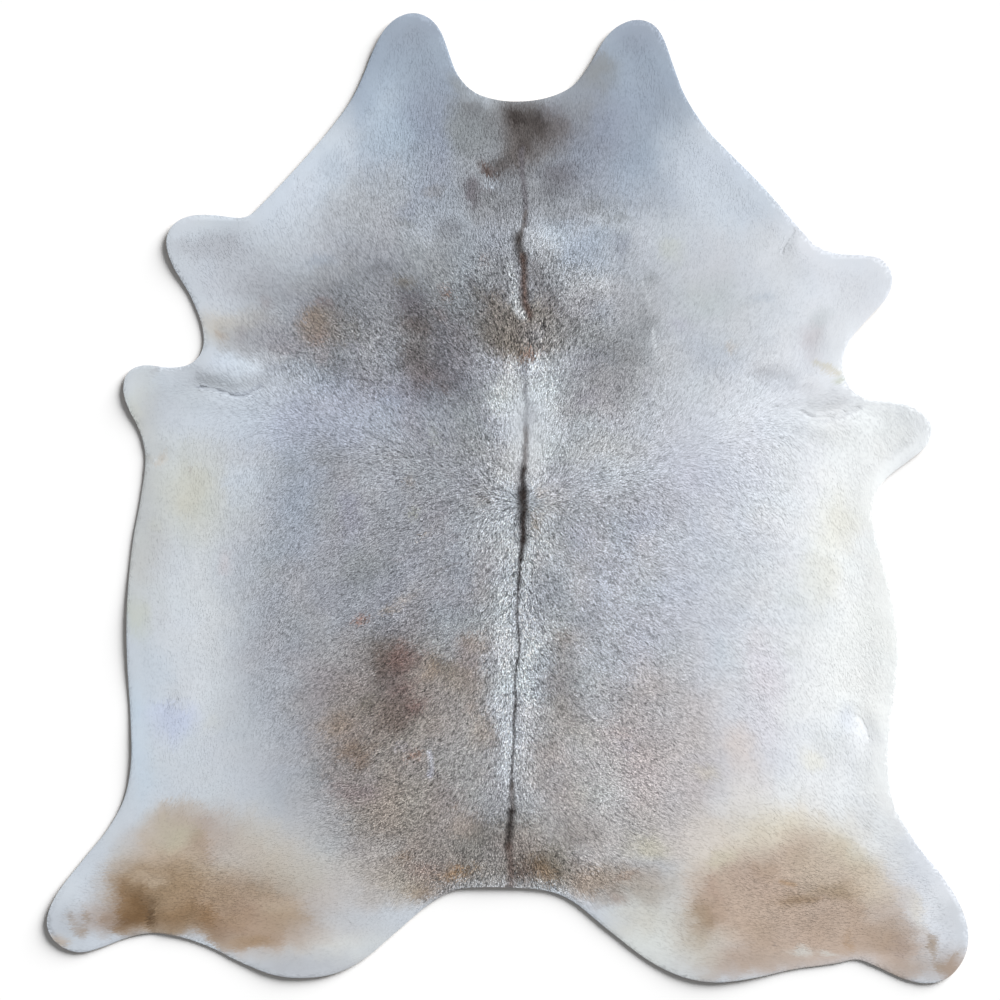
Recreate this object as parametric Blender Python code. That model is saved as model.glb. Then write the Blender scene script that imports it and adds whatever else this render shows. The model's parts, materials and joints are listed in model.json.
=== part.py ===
"""Cowhide rug: one whole hide with the hair on, cut round its lobes and laid flat on a floor.

Frame, in metres: the origin is on the floor under the middle of the bounding box, +Z is up,
+Y runs towards the neck end and +X towards the hide's right side as seen from above.
"""

import math
from typing import NamedTuple

import bmesh
import bpy
import numpy as np
from mathutils import Vector
from mathutils.geometry import delaunay_2d_cdt

MM = 0.001

# Driving dimensions, in millimetres
SPINE_X = 20.0
SPINE_THICKNESS = 4.8
BELLY_THICKNESS = 3.4
BELLY_REACH = 850.0
THINNING_POWER = 1.5
RIM_STEP = 18.0
GRID_STEP = 40.0
GRID_CLEAR_OF_RIM = 0.75
RIM_LIFT = 3.0
RIM_LIFT_REACH = 95.0
CREASE_STEP = 16.0
CREASE_SIDE_STEPS = (-22.0, -8.0, 0.0, 8.0, 22.0)
CLEAR_OF_CREASE = 15.0
TROUGH_SPREAD = 2.0
RIDGE_OFFSET = 2.5

# How the outline and its mesh are worked out
CURVE_STEPS = 24
KEEP_INSIDE_ONLY = 1
SAME_POINT = 1e-6


class Anchor(NamedTuple):
    """A point that the cut edge of the hide passes through, in millimetres."""

    x: float
    y: float


class EdgeWave(NamedTuple):
    """A place on the rim where the hide stands off the floor a little."""

    where: str
    x: float
    y: float
    reach: float
    height: float


class Puff(NamedTuple):
    """A soft swelling inside the rim: half sizes along and across, turn in degrees."""

    where: str
    x: float
    y: float
    half_length: float
    half_width: float
    turn: float
    height: float


class Crease(NamedTuple):
    """A narrow trough along a short route, with a soft ridge on one side of it."""

    where: str
    route: tuple
    half_width: float
    depth: float
    ridge: float


# The cut edge, clockwise from the outer side of the left neck lobe
EDGE = {
    "left neck lobe": [
        Anchor(-397, 828), Anchor(-350, 893), Anchor(-322, 951), Anchor(-300, 1006),
        Anchor(-275, 1051), Anchor(-247, 1077), Anchor(-210, 1088), Anchor(-175, 1077),
        Anchor(-150, 1049), Anchor(-131, 1000), Anchor(-111, 949), Anchor(-75, 911),
    ],
    "neck edge": [Anchor(-25, 893), Anchor(35, 889), Anchor(100, 900)],
    "right neck lobe": [
        Anchor(150, 925), Anchor(188, 975), Anchor(225, 1036), Anchor(258, 1063),
        Anchor(295, 1073), Anchor(330, 1062), Anchor(351, 1034), Anchor(375, 969),
        Anchor(402, 900), Anchor(450, 828),
    ],
    "right neck slope": [Anchor(500, 775), Anchor(575, 700), Anchor(650, 614), Anchor(700, 562)],
    "right fore lobe": [
        Anchor(743, 547), Anchor(800, 543.5), Anchor(843, 535), Anchor(864, 510),
        Anchor(869, 490), Anchor(858, 452), Anchor(813, 400), Anchor(771, 350),
        Anchor(757, 302), Anchor(768, 250), Anchor(806, 224),
    ],
    "right elbow lobe": [
        Anchor(875, 215.5), Anchor(925, 198), Anchor(953, 173), Anchor(958, 148),
        Anchor(945, 114), Anchor(900, 77), Anchor(850, 36), Anchor(829, 0),
    ],
    "right flank": [
        Anchor(827, -50), Anchor(848, -140), Anchor(872, -240), Anchor(884, -345),
        Anchor(874.5, -450), Anchor(863, -545), Anchor(861, -620), Anchor(874, -693),
    ],
    "right hind shank": [
        Anchor(925, -784), Anchor(988, -864), Anchor(1025, -930), Anchor(1038.5, -988),
        Anchor(1028, -1040), Anchor(992, -1084), Anchor(948, -1096.5), Anchor(895, -1087),
        Anchor(833, -1059), Anchor(787, -1042), Anchor(745, -1051),
    ],
    "right rump lobe": [
        Anchor(650, -1064), Anchor(550, -1085), Anchor(470, -1093.5), Anchor(400, -1083),
        Anchor(325, -1049), Anchor(225, -974), Anchor(150, -913), Anchor(100, -890),
    ],
    "tail edge": [Anchor(40, -881.5), Anchor(-65, -879.5), Anchor(-118, -886)],
    "left rump lobe": [
        Anchor(-175, -918), Anchor(-250, -981), Anchor(-325, -1044), Anchor(-390, -1075),
        Anchor(-462, -1083.5), Anchor(-525, -1077), Anchor(-600, -1048.5),
        Anchor(-675, -1012), Anchor(-740, -990.5),
    ],
    "left hind shank": [
        Anchor(-795, -983), Anchor(-850, -992), Anchor(-915, -1016), Anchor(-962, -1027),
        Anchor(-1005, -1012), Anchor(-1031, -981), Anchor(-1035, -950), Anchor(-1016, -900),
        Anchor(-950, -813), Anchor(-900, -751), Anchor(-862, -681), Anchor(-846, -600),
    ],
    "left flank": [
        Anchor(-847.5, -500), Anchor(-855, -370), Anchor(-855, -240), Anchor(-843, -105),
        Anchor(-824, 0), Anchor(-814, 92),
    ],
    "left elbow lobe": [
        Anchor(-827, 148), Anchor(-853, 200), Anchor(-864, 243), Anchor(-852, 281),
        Anchor(-818, 296), Anchor(-755, 290), Anchor(-708, 300),
    ],
    "left fore lobe": [
        Anchor(-685, 330), Anchor(-685, 378), Anchor(-712, 450), Anchor(-755, 525),
        Anchor(-767, 575), Anchor(-752, 611), Anchor(-715, 631), Anchor(-665, 634),
        Anchor(-603, 627), Anchor(-583, 629.5),
    ],
    "left neck slope": [Anchor(-550, 659.5), Anchor(-458, 757)],
}

# Where the rim stands highest off the floor
EDGE_WAVES = [
    EdgeWave("left neck lobe tip", -225, 1060, 150, 5.0),
    EdgeWave("right neck lobe tip", 300, 1045, 130, 4.0),
    EdgeWave("left fore lobe tip", -755, 575, 130, 5.5),
    EdgeWave("left elbow lobe tip", -850, 235, 120, 5.0),
    EdgeWave("right fore lobe tip", 850, 490, 120, 3.5),
    EdgeWave("right elbow lobe tip", 940, 150, 130, 4.0),
    EdgeWave("left flank wave", -850, -300, 170, 4.5),
    EdgeWave("left lower flank wave", -845, -590, 130, 3.0),
    EdgeWave("right flank wave", 872, -330, 180, 3.0),
    EdgeWave("left hind shank tip", -1010, -960, 150, 5.5),
    EdgeWave("right hind shank tip", 1005, -1020, 150, 5.5),
    EdgeWave("left rump wave", -470, -1065, 170, 5.0),
    EdgeWave("right rump wave", 480, -1075, 190, 5.0),
    EdgeWave("tail edge wave", -20, -880, 150, 3.0),
]

# Swellings that the photo's soft lights show
PUFFS = [
    Puff("left armpit", -620, 290, 105, 58, 8, 5.0),
    Puff("right armpit", 712, 258, 90, 55, -8, 4.5),
    Puff("right elbow fold", 770, 160, 110, 40, 4, 3.0),
    Puff("right hip", 755, -545, 85, 62, -20, 3.5),
    Puff("left hip", -735, -480, 95, 60, 35, 3.0),
    Puff("right neck slope", 665, 560, 85, 55, -45, 3.0),
    Puff("left hind pinch", -740, -950, 70, 60, 0, 3.0),
    Puff("left hind shank", -870, -930, 80, 55, 30, 3.0),
]

# Creases that read as thin dark lines in the photo
CREASES = [
    Crease("left armpit",
           ((-685, 250), (-645, 243), (-622, 230), (-598, 226), (-578, 234), (-552, 251)),
           9.0, 3.2, 1.6),
    Crease("right armpit", ((660, 198), (682, 181), (716, 180), (752, 190), (790, 206)),
           9.0, 2.4, 1.2),
    Crease("right neck slope", ((645, 603), (630, 587), (619, 553)), 9.0, 2.2, 1.0),
    Crease("left flank pinch", ((-800, 91), (-778, 92), (-755, 86)), 9.0, 2.2, 1.0),
    Crease("left hind pinch", ((-795, -965), (-793, -940), (-786, -905)), 11.0, 2.6, 1.2),
    Crease("right hip arc", ((745, -490), (778, -480), (802, -506), (812, -540)), 9.0, 2.0, 1.0),
    Crease("left hip line", ((-778, -476), (-764, -466), (-745, -450)), 8.0, 1.6, 0.8),
]


def remove_start_objects() -> None:
    """Empty the scene of the objects that it starts with."""
    for thing in list(bpy.data.objects):
        bpy.data.objects.remove(thing, do_unlink=True)


def centripetal_curve(anchors: list, steps: int) -> np.ndarray:
    """Closed smooth curve through every anchor, with `steps` points between neighbours."""
    points = np.array(anchors, float)
    count = len(points)
    out = []
    for i in range(count):
        p0, p1, p2, p3 = (points[(i + k) % count] for k in (-1, 0, 1, 2))
        t0 = 0.0
        t1 = t0 + math.sqrt(np.linalg.norm(p1 - p0))
        t2 = t1 + math.sqrt(np.linalg.norm(p2 - p1))
        t3 = t2 + math.sqrt(np.linalg.norm(p3 - p2))
        for t in np.linspace(t1, t2, steps, endpoint=False):
            a1 = ((t1 - t) * p0 + (t - t0) * p1) / (t1 - t0)
            a2 = ((t2 - t) * p1 + (t - t1) * p2) / (t2 - t1)
            a3 = ((t3 - t) * p2 + (t - t2) * p3) / (t3 - t2)
            b1 = ((t2 - t) * a1 + (t - t0) * a2) / (t2 - t0)
            b2 = ((t3 - t) * a2 + (t - t1) * a3) / (t3 - t1)
            out.append(((t2 - t) * b1 + (t - t1) * b2) / (t2 - t1))
    return np.array(out)


def even_points(line: np.ndarray, step: float, closed: bool) -> np.ndarray:
    """Points about `step` apart along a line of short chords."""
    path = np.vstack([line, line[:1]]) if closed else line
    run = np.concatenate([[0.0], np.cumsum(np.linalg.norm(np.diff(path, axis=0), axis=1))])
    parts = max(2, round(run[-1] / step))
    at = np.linspace(0.0, run[-1], parts + 1)
    if closed:
        at = at[:-1]
    return np.stack([np.interp(at, run, path[:, 0]), np.interp(at, run, path[:, 1])], axis=1)


def distance_to_segments(points: np.ndarray, line: np.ndarray, closed: bool) -> np.ndarray:
    """Shortest distance from each point to a line of chords."""
    ends = np.roll(line, -1, axis=0) if closed else line[1:]
    starts = line if closed else line[:-1]
    best = np.full(len(points), np.inf)
    for a, b in zip(starts, ends):
        chord = b - a
        along = np.clip((points - a) @ chord / (chord @ chord), 0.0, 1.0)
        gap = np.linalg.norm(points - (a + along[:, None] * chord), axis=1)
        best = np.minimum(best, gap)
    return best


def inside(points: np.ndarray, loop: np.ndarray) -> np.ndarray:
    """Whether each point is inside a closed loop, by counting crossings."""
    hit = np.zeros(len(points), bool)
    for (xa, ya), (xb, yb) in zip(loop, np.roll(loop, -1, axis=0)):
        straddles = (ya > points[:, 1]) != (yb > points[:, 1])
        if ya != yb:
            x_cut = xa + (points[:, 1] - ya) / (yb - ya) * (xb - xa)
            hit ^= straddles & (points[:, 0] < x_cut)
    return hit


def smooth_fall(distance: np.ndarray) -> np.ndarray:
    """1 at zero, falling smoothly to exactly 0 from 1 on."""
    t = np.clip(1.0 - distance, 0.0, 1.0)
    return t * t * (3.0 - 2.0 * t)


def crease_points() -> list:
    """Rows of points on and beside every crease, so that the mesh can follow it."""
    rows = []
    for crease in CREASES:
        route = even_points(np.array(crease.route, float), CREASE_STEP, closed=False)
        along = np.gradient(route, axis=0)
        side = np.stack([-along[:, 1], along[:, 0]], axis=1)
        side /= np.linalg.norm(side, axis=1)[:, None]
        rows.extend(route + side * offset for offset in CREASE_SIDE_STEPS)
    return rows


def inner_points(rim: np.ndarray) -> np.ndarray:
    """A staggered grid kept clear of the rim and of the creases, with the creases' own rows."""
    low = rim.min(axis=0)
    high = rim.max(axis=0)
    row_step = GRID_STEP * math.sqrt(3.0) / 2.0
    grid = []
    for row, y in enumerate(np.arange(low[1], high[1], row_step)):
        shift = GRID_STEP / 2.0 if row % 2 else 0.0
        grid.extend((x + shift, y) for x in np.arange(low[0], high[0], GRID_STEP))
    grid = np.array(grid)
    rows = crease_points()
    for row in rows:
        grid = grid[distance_to_segments(grid, row, closed=False) > CLEAR_OF_CREASE]
    everything = np.vstack([grid, *rows])
    everything = everything[inside(everything, rim)]
    clear = distance_to_segments(everything, rim, closed=True)
    return everything[clear > GRID_CLEAR_OF_RIM * RIM_STEP]


def lift_of(points: np.ndarray, rim: np.ndarray) -> np.ndarray:
    """How far the underside stands off the floor at each point, in millimetres."""
    near_rim = smooth_fall(distance_to_segments(points, rim, closed=True) / RIM_LIFT_REACH)
    lift = RIM_LIFT * near_rim
    for wave in EDGE_WAVES:
        reach = np.hypot(points[:, 0] - wave.x, points[:, 1] - wave.y) / wave.reach
        lift += wave.height * smooth_fall(reach)
    for puff in PUFFS:
        turn = math.radians(puff.turn)
        dx = points[:, 0] - puff.x
        dy = points[:, 1] - puff.y
        along = (dx * math.cos(turn) + dy * math.sin(turn)) / puff.half_length
        across = (dy * math.cos(turn) - dx * math.sin(turn)) / puff.half_width
        lift += puff.height * smooth_fall(np.hypot(along, across))
    for crease in CREASES:
        gap = distance_to_segments(points, np.array(crease.route, float), closed=False)
        spread = crease.half_width * TROUGH_SPREAD
        trough = smooth_fall(gap / spread)
        shoulder = smooth_fall(np.abs(gap - crease.half_width * RIDGE_OFFSET) / spread)
        lift += crease.ridge * shoulder - crease.depth * trough
    return np.clip(lift, 0.0, None)


def thickness_of(points: np.ndarray) -> np.ndarray:
    """Leather with its laid hair: thickest along the spine, thinnest at the belly edges."""
    out = np.clip(np.abs(points[:, 0] - SPINE_X) / BELLY_REACH, 0.0, 1.0)
    return SPINE_THICKNESS - (SPINE_THICKNESS - BELLY_THICKNESS) * out ** THINNING_POWER


def hide_material() -> bpy.types.Material:
    """Pale grey-brown hair-on leather."""
    material = bpy.data.materials.new("hide")
    material.use_nodes = True
    shader = material.node_tree.nodes["Principled BSDF"]
    shader.inputs["Base Color"].default_value = (0.46, 0.43, 0.41, 1.0)
    shader.inputs["Roughness"].default_value = 0.85
    shader.inputs["Metallic"].default_value = 0.0
    return material


def sheet_mesh(rim: np.ndarray) -> bpy.types.Mesh:
    """The hide as one closed sheet: top, underside and cut edge over one triangulation."""
    points = np.vstack([rim, inner_points(rim)])
    loop = list(range(len(rim)))
    flat, _, triangles, *_ = delaunay_2d_cdt(
        [Vector(p) for p in points], [], [loop], KEEP_INSIDE_ONLY, SAME_POINT)
    flat = np.array([tuple(p) for p in flat])
    under = lift_of(flat, rim)
    over = under + thickness_of(flat)
    low, high = flat.min(axis=0), flat.max(axis=0)
    centred = flat - (low + high) / 2.0

    solid = bmesh.new()
    top = [solid.verts.new((x * MM, y * MM, z * MM)) for (x, y), z in zip(centred, over)]
    base = [solid.verts.new((x * MM, y * MM, z * MM)) for (x, y), z in zip(centred, under)]
    for a, b, c in triangles:
        solid.faces.new((top[a], top[b], top[c]))
        solid.faces.new((base[c], base[b], base[a]))
    for a, b in zip(loop, loop[1:] + loop[:1]):
        solid.faces.new((top[a], base[a], base[b], top[b]))
    bmesh.ops.triangulate(solid, faces=[f for f in solid.faces if len(f.verts) > 3])
    bmesh.ops.recalc_face_normals(solid, faces=solid.faces)
    mesh = bpy.data.meshes.new("hide")
    solid.to_mesh(mesh)
    solid.free()
    return mesh


def build_hide() -> None:
    """Build the single node of the part."""
    anchors = [anchor for stretch in EDGE.values() for anchor in stretch]
    rim = even_points(centripetal_curve(anchors, CURVE_STEPS), RIM_STEP, closed=True)
    mesh = sheet_mesh(rim)
    mesh.materials.append(hide_material())
    hide = bpy.data.objects.new("hide", mesh)
    bpy.context.collection.objects.link(hide)


remove_start_objects()
build_hide()
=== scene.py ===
"""A whole cowhide rug laid flat, hair side up, on a pale floor.

The leather is one cut sheet over the solid's own folds. The coat is short laid hair on it, made as joined
tufts in five bands from neck to rump. Sizes are millimetres on the hide unless a name says metres.
"""
import sys

import json
import logging
import math
from dataclasses import dataclass
from enum import Enum

import bmesh
import bpy
import numpy as np
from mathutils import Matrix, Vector
from mathutils.bvhtree import BVHTree
from mathutils.geometry import delaunay_2d_cdt

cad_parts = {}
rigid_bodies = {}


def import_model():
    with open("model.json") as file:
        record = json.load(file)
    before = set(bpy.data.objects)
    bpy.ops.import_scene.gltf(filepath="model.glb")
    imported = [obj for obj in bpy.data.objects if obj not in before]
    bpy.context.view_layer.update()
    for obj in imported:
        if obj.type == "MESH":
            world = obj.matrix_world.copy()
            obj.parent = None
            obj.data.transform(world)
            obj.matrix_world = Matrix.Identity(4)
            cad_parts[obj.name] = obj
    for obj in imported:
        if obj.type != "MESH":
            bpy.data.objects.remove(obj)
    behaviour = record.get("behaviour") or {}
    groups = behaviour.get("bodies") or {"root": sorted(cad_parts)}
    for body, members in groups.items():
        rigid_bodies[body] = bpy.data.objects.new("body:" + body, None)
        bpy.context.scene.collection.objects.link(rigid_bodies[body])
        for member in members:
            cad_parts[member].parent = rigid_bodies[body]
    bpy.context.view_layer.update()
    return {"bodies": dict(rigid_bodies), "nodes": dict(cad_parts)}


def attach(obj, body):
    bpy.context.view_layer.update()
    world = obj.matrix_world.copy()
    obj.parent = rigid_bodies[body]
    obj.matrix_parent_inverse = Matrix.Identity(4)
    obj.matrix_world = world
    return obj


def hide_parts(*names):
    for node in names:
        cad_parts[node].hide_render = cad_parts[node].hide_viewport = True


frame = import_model()
MM = 0.001
TOP_FACING = 0.2
SAME_POINT = 1e-6
KEEP_INSIDE_ONLY = 1
NEAR_RIM = 30.0
POINTS_AT_ONCE = 700
LEAST_WEIGHT = 1e-4

LOG = logging.getLogger("cowhide_rug")

Array = np.ndarray
Route = tuple[tuple[float, float], ...]
Triple = tuple[float, float, float]
Colour = Triple
Socket = bpy.types.NodeSocket


class Tone(Enum):
    """Hair colours of this hide, as they look in soft daylight."""

    SNOW = (244, 247, 246)
    PEARL = (220, 224, 231)
    MOON = (202, 207, 212)
    ICE = (197, 206, 217)
    MIST = (190, 197, 205)
    FROST = (184, 199, 213)
    LILAC = (194, 198, 212)
    LAVENDER = (187, 196, 218)
    BLOSSOM = (222, 220, 228)
    VIOLET = (160, 159, 176)
    SLATE = (156, 168, 183)
    STEEL = (141, 148, 163)
    SILVER = (182, 185, 190)
    DOVE = (168, 171, 178)
    GREY = (157, 160, 167)
    ASH = (140, 144, 147)
    SMOKE = (124, 126, 131)
    CREAM = (232, 232, 222)
    OAT = (193, 196, 190)
    CHALK = (204, 207, 204)
    OLIVE = (183, 187, 164)
    CHAFF = (196, 191, 168)
    FERN = (178, 186, 188)
    PEACH = (216, 206, 198)
    BEIGE = (212, 204, 188)
    STRAW = (182, 173, 158)
    SAND = (184, 168, 150)
    ROSE = (204, 197, 200)
    DUSK = (180, 173, 169)
    MAUVE = (146, 134, 136)
    TAUPE = (146, 139, 134)
    MOLE = (120, 113, 103)
    PLUM = (106, 102, 108)
    DUN = (102, 96, 94)
    UMBER = (92, 76, 70)
    SABLE = (72, 66, 64)
    PITCH = (46, 38, 36)
    RUSSET = (122, 92, 88)
    RUST = (146, 110, 92)
    OLDGOLD = (98, 86, 66)
    TAN = (150, 129, 105)
    NUT = (163, 143, 126)
    BLUSH = (180, 162, 148)
    AMBER = (154, 120, 80)
    OCHRE = (122, 94, 62)
    BARK = (84, 58, 30)
    LOAM = (58, 38, 18)

    @property
    def linear(self) -> Array:
        """The colour as linear light, 0 to 1."""
        share = np.array(self.value, float) / 255.0
        return np.where(share <= 0.04045, share / 12.92, ((share + 0.055) / 1.055) ** 2.4)


class Side(Enum):
    """Which face of the leather a mesh face belongs to."""

    HAIR = 0
    CUT_EDGE = 1
    FLESH = 2


@dataclass(frozen=True)
class Mark:
    """A soft patch of one tone: centre, half sizes, strength, share that fades, and turn in degrees."""

    x: float
    y: float
    half_x: float
    half_y: float
    tone: Tone
    strength: float = 0.8
    fade: float = 0.9
    turn: float = 0.0


@dataclass(frozen=True)
class Streak:
    """A line of one tone along a route."""

    route: Route
    half_width: float
    tone: Tone
    strength: float


@dataclass(frozen=True)
class Ticking:
    """How much single hairs differ in brightness over a patch of the hide."""

    x: float
    y: float
    half_x: float
    half_y: float
    amount: float


@dataclass(frozen=True)
class Fold:
    """A fine crease in the leather: route, half width, depth and the swelling beside it."""

    route: Route
    half_width: float
    depth: float
    ridge: float


T = Tone
# The ground tones: the pearl and snow patches that make the right margin paler than the left are partly the
# hair's own tone and partly painted light on the side facing the light from the upper right.
GROUND_AND_SIDE_LIGHT_MARKS = (
    Mark(790, -100, 420, 1150, T.PEARL, 1.0, 0.8), Mark(820, -230, 230, 560, T.SNOW, 0.85, 0.8),
    Mark(-680, -250, 110, 420, T.MOON), Mark(-270, -20, 310, 680, T.GREY, 1.0, 0.7),
    Mark(190, -60, 250, 740, T.SILVER, 1.0, 0.8), Mark(960, -900, 90, 140, T.PEARL, 0.7),
    Mark(430, -40, 130, 250, T.LILAC), Mark(-430, -370, 180, 400, T.GREY, 0.9, 0.85),
    Mark(-480, 20, 80, 190, T.SLATE, 0.5), Mark(-430, -1010, 190, 90, T.CHALK),
    Mark(330, -980, 130, 150, T.CHALK, 0.95), Mark(-75, 90, 45, 150, T.ASH, 0.6),
)
NECK_MARKS = (
    Mark(-230, 930, 170, 260, T.SLATE, 1.0, 0.6), Mark(290, 900, 160, 260, T.SLATE, 1.0, 0.6),
    Mark(-270, 850, 60, 110, T.FROST, 0.5), Mark(-450, 720, 190, 100, T.ICE, 1.0, 0.8, turn=45),
    Mark(490, 720, 190, 110, T.ICE, 1.0, 0.8, turn=-45), Mark(-300, 640, 130, 110, T.DOVE, 0.6),
    Mark(-160, 770, 75, 170, T.STEEL, 0.75), Mark(165, 790, 110, 170, T.STEEL, 0.9),
    Mark(-80, 820, 65, 90, T.ASH, 0.9, 0.7), Mark(-112, 925, 22, 40, T.ASH, 0.6, turn=20),
    Mark(160, 880, 45, 60, T.ASH, 0.7, turn=-20), Mark(-30, 680, 110, 120, T.SMOKE, 0.7),
    Mark(60, 800, 120, 110, T.SMOKE), Mark(190, 955, 60, 60, T.STEEL), Mark(45, 840, 100, 90, T.DUN, 1.0),
    Mark(20, 770, 60, 70, T.DUN, 0.9), Mark(50, 850, 60, 42, T.SABLE), Mark(28, 852, 34, 20, T.PITCH, 0.55),
    Mark(78, 862, 14, 26, T.PITCH, 0.5), Mark(65, 815, 26, 24, T.PITCH, 0.35),
    Mark(25, 785, 20, 26, T.SABLE, 0.7), Mark(-30, 741, 36, 13, T.UMBER, 0.9),
    Mark(-8, 752, 16, 16, T.SABLE, 0.5), Mark(-24, 706, 30, 9, T.ICE, 0.9), Mark(-68, 690, 22, 32, T.PLUM),
    Mark(-35, 690, 26, 8, T.PLUM, 0.6), Mark(-20, 665, 36, 22, T.ASH, 0.5),
    Mark(115, 712, 55, 42, T.PLUM, 0.75), Mark(95, 675, 30, 20, T.PLUM, 0.5),
    Mark(205, 650, 50, 28, T.ASH, 0.6), Mark(125, 845, 30, 40, T.DUN, 0.6),
    Mark(-75, 860, 30, 20, T.SMOKE, 0.5), Mark(-165, 690, 36, 22, T.TAUPE, 0.4),
    Mark(-230, 645, 40, 30, T.STEEL, 0.5), Mark(-230, 615, 40, 13, T.ASH, 0.6),
    Mark(-125, 605, 30, 34, T.SMOKE, 0.7), Mark(250, 620, 24, 11, T.ASH, 0.7),
    Mark(130, 620, 60, 20, T.SLATE, 0.5),
)
WITHERS_MARKS = (
    Mark(30, 430, 140, 130, T.SMOKE, 0.9, 0.8), Mark(-60, 560, 100, 60, T.STEEL, 0.4),
    Mark(110, 600, 60, 36, T.FROST, 0.5), Mark(200, 560, 90, 60, T.SLATE, 0.7),
    Mark(250, 555, 18, 34, T.STEEL, 0.6), Mark(35, 375, 120, 62, T.MOLE, 0.85, 0.6),
    Mark(45, 370, 50, 34, T.DUN, 0.7), Mark(46, 325, 70, 20, T.MOLE, 0.8, 0.7),
    Mark(50, 322, 34, 11, T.RUST, 0.7), Mark(95, 440, 45, 45, T.DUN, 0.6), Mark(75, 500, 24, 42, T.DUN, 0.5),
    Mark(-15, 430, 24, 26, T.OLDGOLD, 0.7), Mark(-52, 448, 34, 22, T.MOLE, 0.7),
    Mark(-85, 480, 26, 32, T.PLUM, 0.7), Mark(-52, 520, 8, 9, T.RUST, 0.5), Mark(-80, 372, 9, 12, T.ICE, 0.5),
    # The four moon patches either side of the spine, from Mark(2, 212) to the end of this table, are painted
    # sheen where the hair parts off the spine.
    Mark(130, 380, 40, 50, T.SMOKE, 0.5), Mark(2, 212, 26, 92, T.MOON, 1.0, 0.3, turn=-3),
    Mark(80, 216, 31, 92, T.MOON, 1.0, 0.3, turn=3), Mark(8, 80, 18, 90, T.MOON, 0.8, 0.7),
    Mark(64, 80, 22, 80, T.MOON, 0.8, 0.7),
)
SHOULDER_MARKS = (
    Mark(-280, 420, 270, 130, T.SMOKE, 0.85, 0.85), Mark(-590, 370, 80, 50, T.STRAW, 0.6),
    Mark(-600, 520, 150, 90, T.DOVE, 0.45), Mark(-187, 330, 80, 115, T.DUN, 0.6),
    Mark(-310, 300, 60, 110, T.GREY, 0.5), Mark(-100, 350, 45, 60, T.PLUM, 0.5),
    Mark(-212, 380, 30, 28, T.UMBER, 0.4), Mark(-222, 305, 34, 34, T.UMBER, 0.4),
    Mark(-195, 268, 42, 26, T.RUST, 0.2), Mark(-150, 405, 24, 18, T.MAUVE, 0.5),
    Mark(-232, 488, 32, 16, T.MOLE, 0.7), Mark(-215, 445, 40, 30, T.PLUM, 0.6),
    Mark(-138, 460, 10, 22, T.RUST, 0.7), Mark(-138, 240, 14, 14, T.RUST, 0.4),
    Mark(-300, 540, 110, 55, T.GREY, 0.7), Mark(-280, 510, 60, 26, T.SMOKE, 0.5),
    Mark(-420, 375, 80, 55, T.TAUPE, 0.7, 0.8), Mark(-448, 385, 38, 44, T.TAN, 0.45),
    Mark(-465, 390, 13, 17, T.AMBER, 0.2), Mark(-435, 352, 24, 15, T.RUST, 0.3),
    Mark(-420, 422, 30, 13, T.MAUVE, 0.6), Mark(-335, 385, 16, 24, T.MOLE, 0.6),
    Mark(-430, 315, 40, 24, T.MAUVE, 0.4), Mark(-500, 340, 48, 28, T.MAUVE, 0.7),
    Mark(-330, 342, 20, 11, T.VIOLET, 0.5), Mark(-370, 270, 46, 30, T.SMOKE, 0.5),
    Mark(-500, 280, 90, 22, T.STEEL, 0.4), Mark(-530, 450, 90, 70, T.GREY, 0.7),
    Mark(-548, 420, 24, 20, T.MAUVE, 0.35), Mark(-420, 530, 30, 22, T.SLATE, 0.5),
    Mark(-680, 555, 80, 30, T.DOVE, 0.7), Mark(-655, 385, 50, 50, T.STRAW, 0.5, turn=20),
    Mark(-632, 364, 18, 15, T.SAND), Mark(-584, 360, 17, 20, T.RUST, 0.35),
    Mark(-610, 290, 70, 38, T.ICE, 0.9, 0.7), Mark(-640, 190, 120, 60, T.ICE, 0.5),
    Mark(-848, 195, 26, 60, T.OAT, 0.8, turn=25), Mark(-790, 290, 18, 12, T.DOVE, 0.5),
    Mark(420, 420, 250, 190, T.SILVER, 0.6), Mark(280, 470, 90, 90, T.GREY, 0.6),
    Mark(225, 320, 120, 140, T.SMOKE, 0.65), Mark(300, 380, 34, 42, T.SMOKE, 0.4),
    Mark(380, 382, 34, 22, T.VIOLET, 0.35), Mark(440, 450, 90, 60, T.FERN, 0.5),
    Mark(450, 320, 80, 70, T.SLATE, 0.3), Mark(370, 550, 30, 30, T.OLIVE, 0.25),
    Mark(320, 500, 20, 22, T.ASH, 0.35), Mark(495, 345, 20, 15, T.SAND, 0.35),
    Mark(560, 440, 40, 16, T.SLATE, 0.3), Mark(600, 285, 55, 30, T.DOVE, 0.5),
    Mark(640, 250, 40, 16, T.DOVE, 0.35), Mark(685, 350, 34, 42, T.ROSE, 0.6),
    Mark(700, 395, 30, 30, T.FERN, 0.35), Mark(715, 302, 26, 11, T.BEIGE, 0.6),
    Mark(728, 282, 24, 10, T.OLIVE, 0.6, turn=20), Mark(175, 215, 40, 26, T.VIOLET, 0.35),
    Mark(310, 240, 26, 50, T.VIOLET, 0.25),
)
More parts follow.
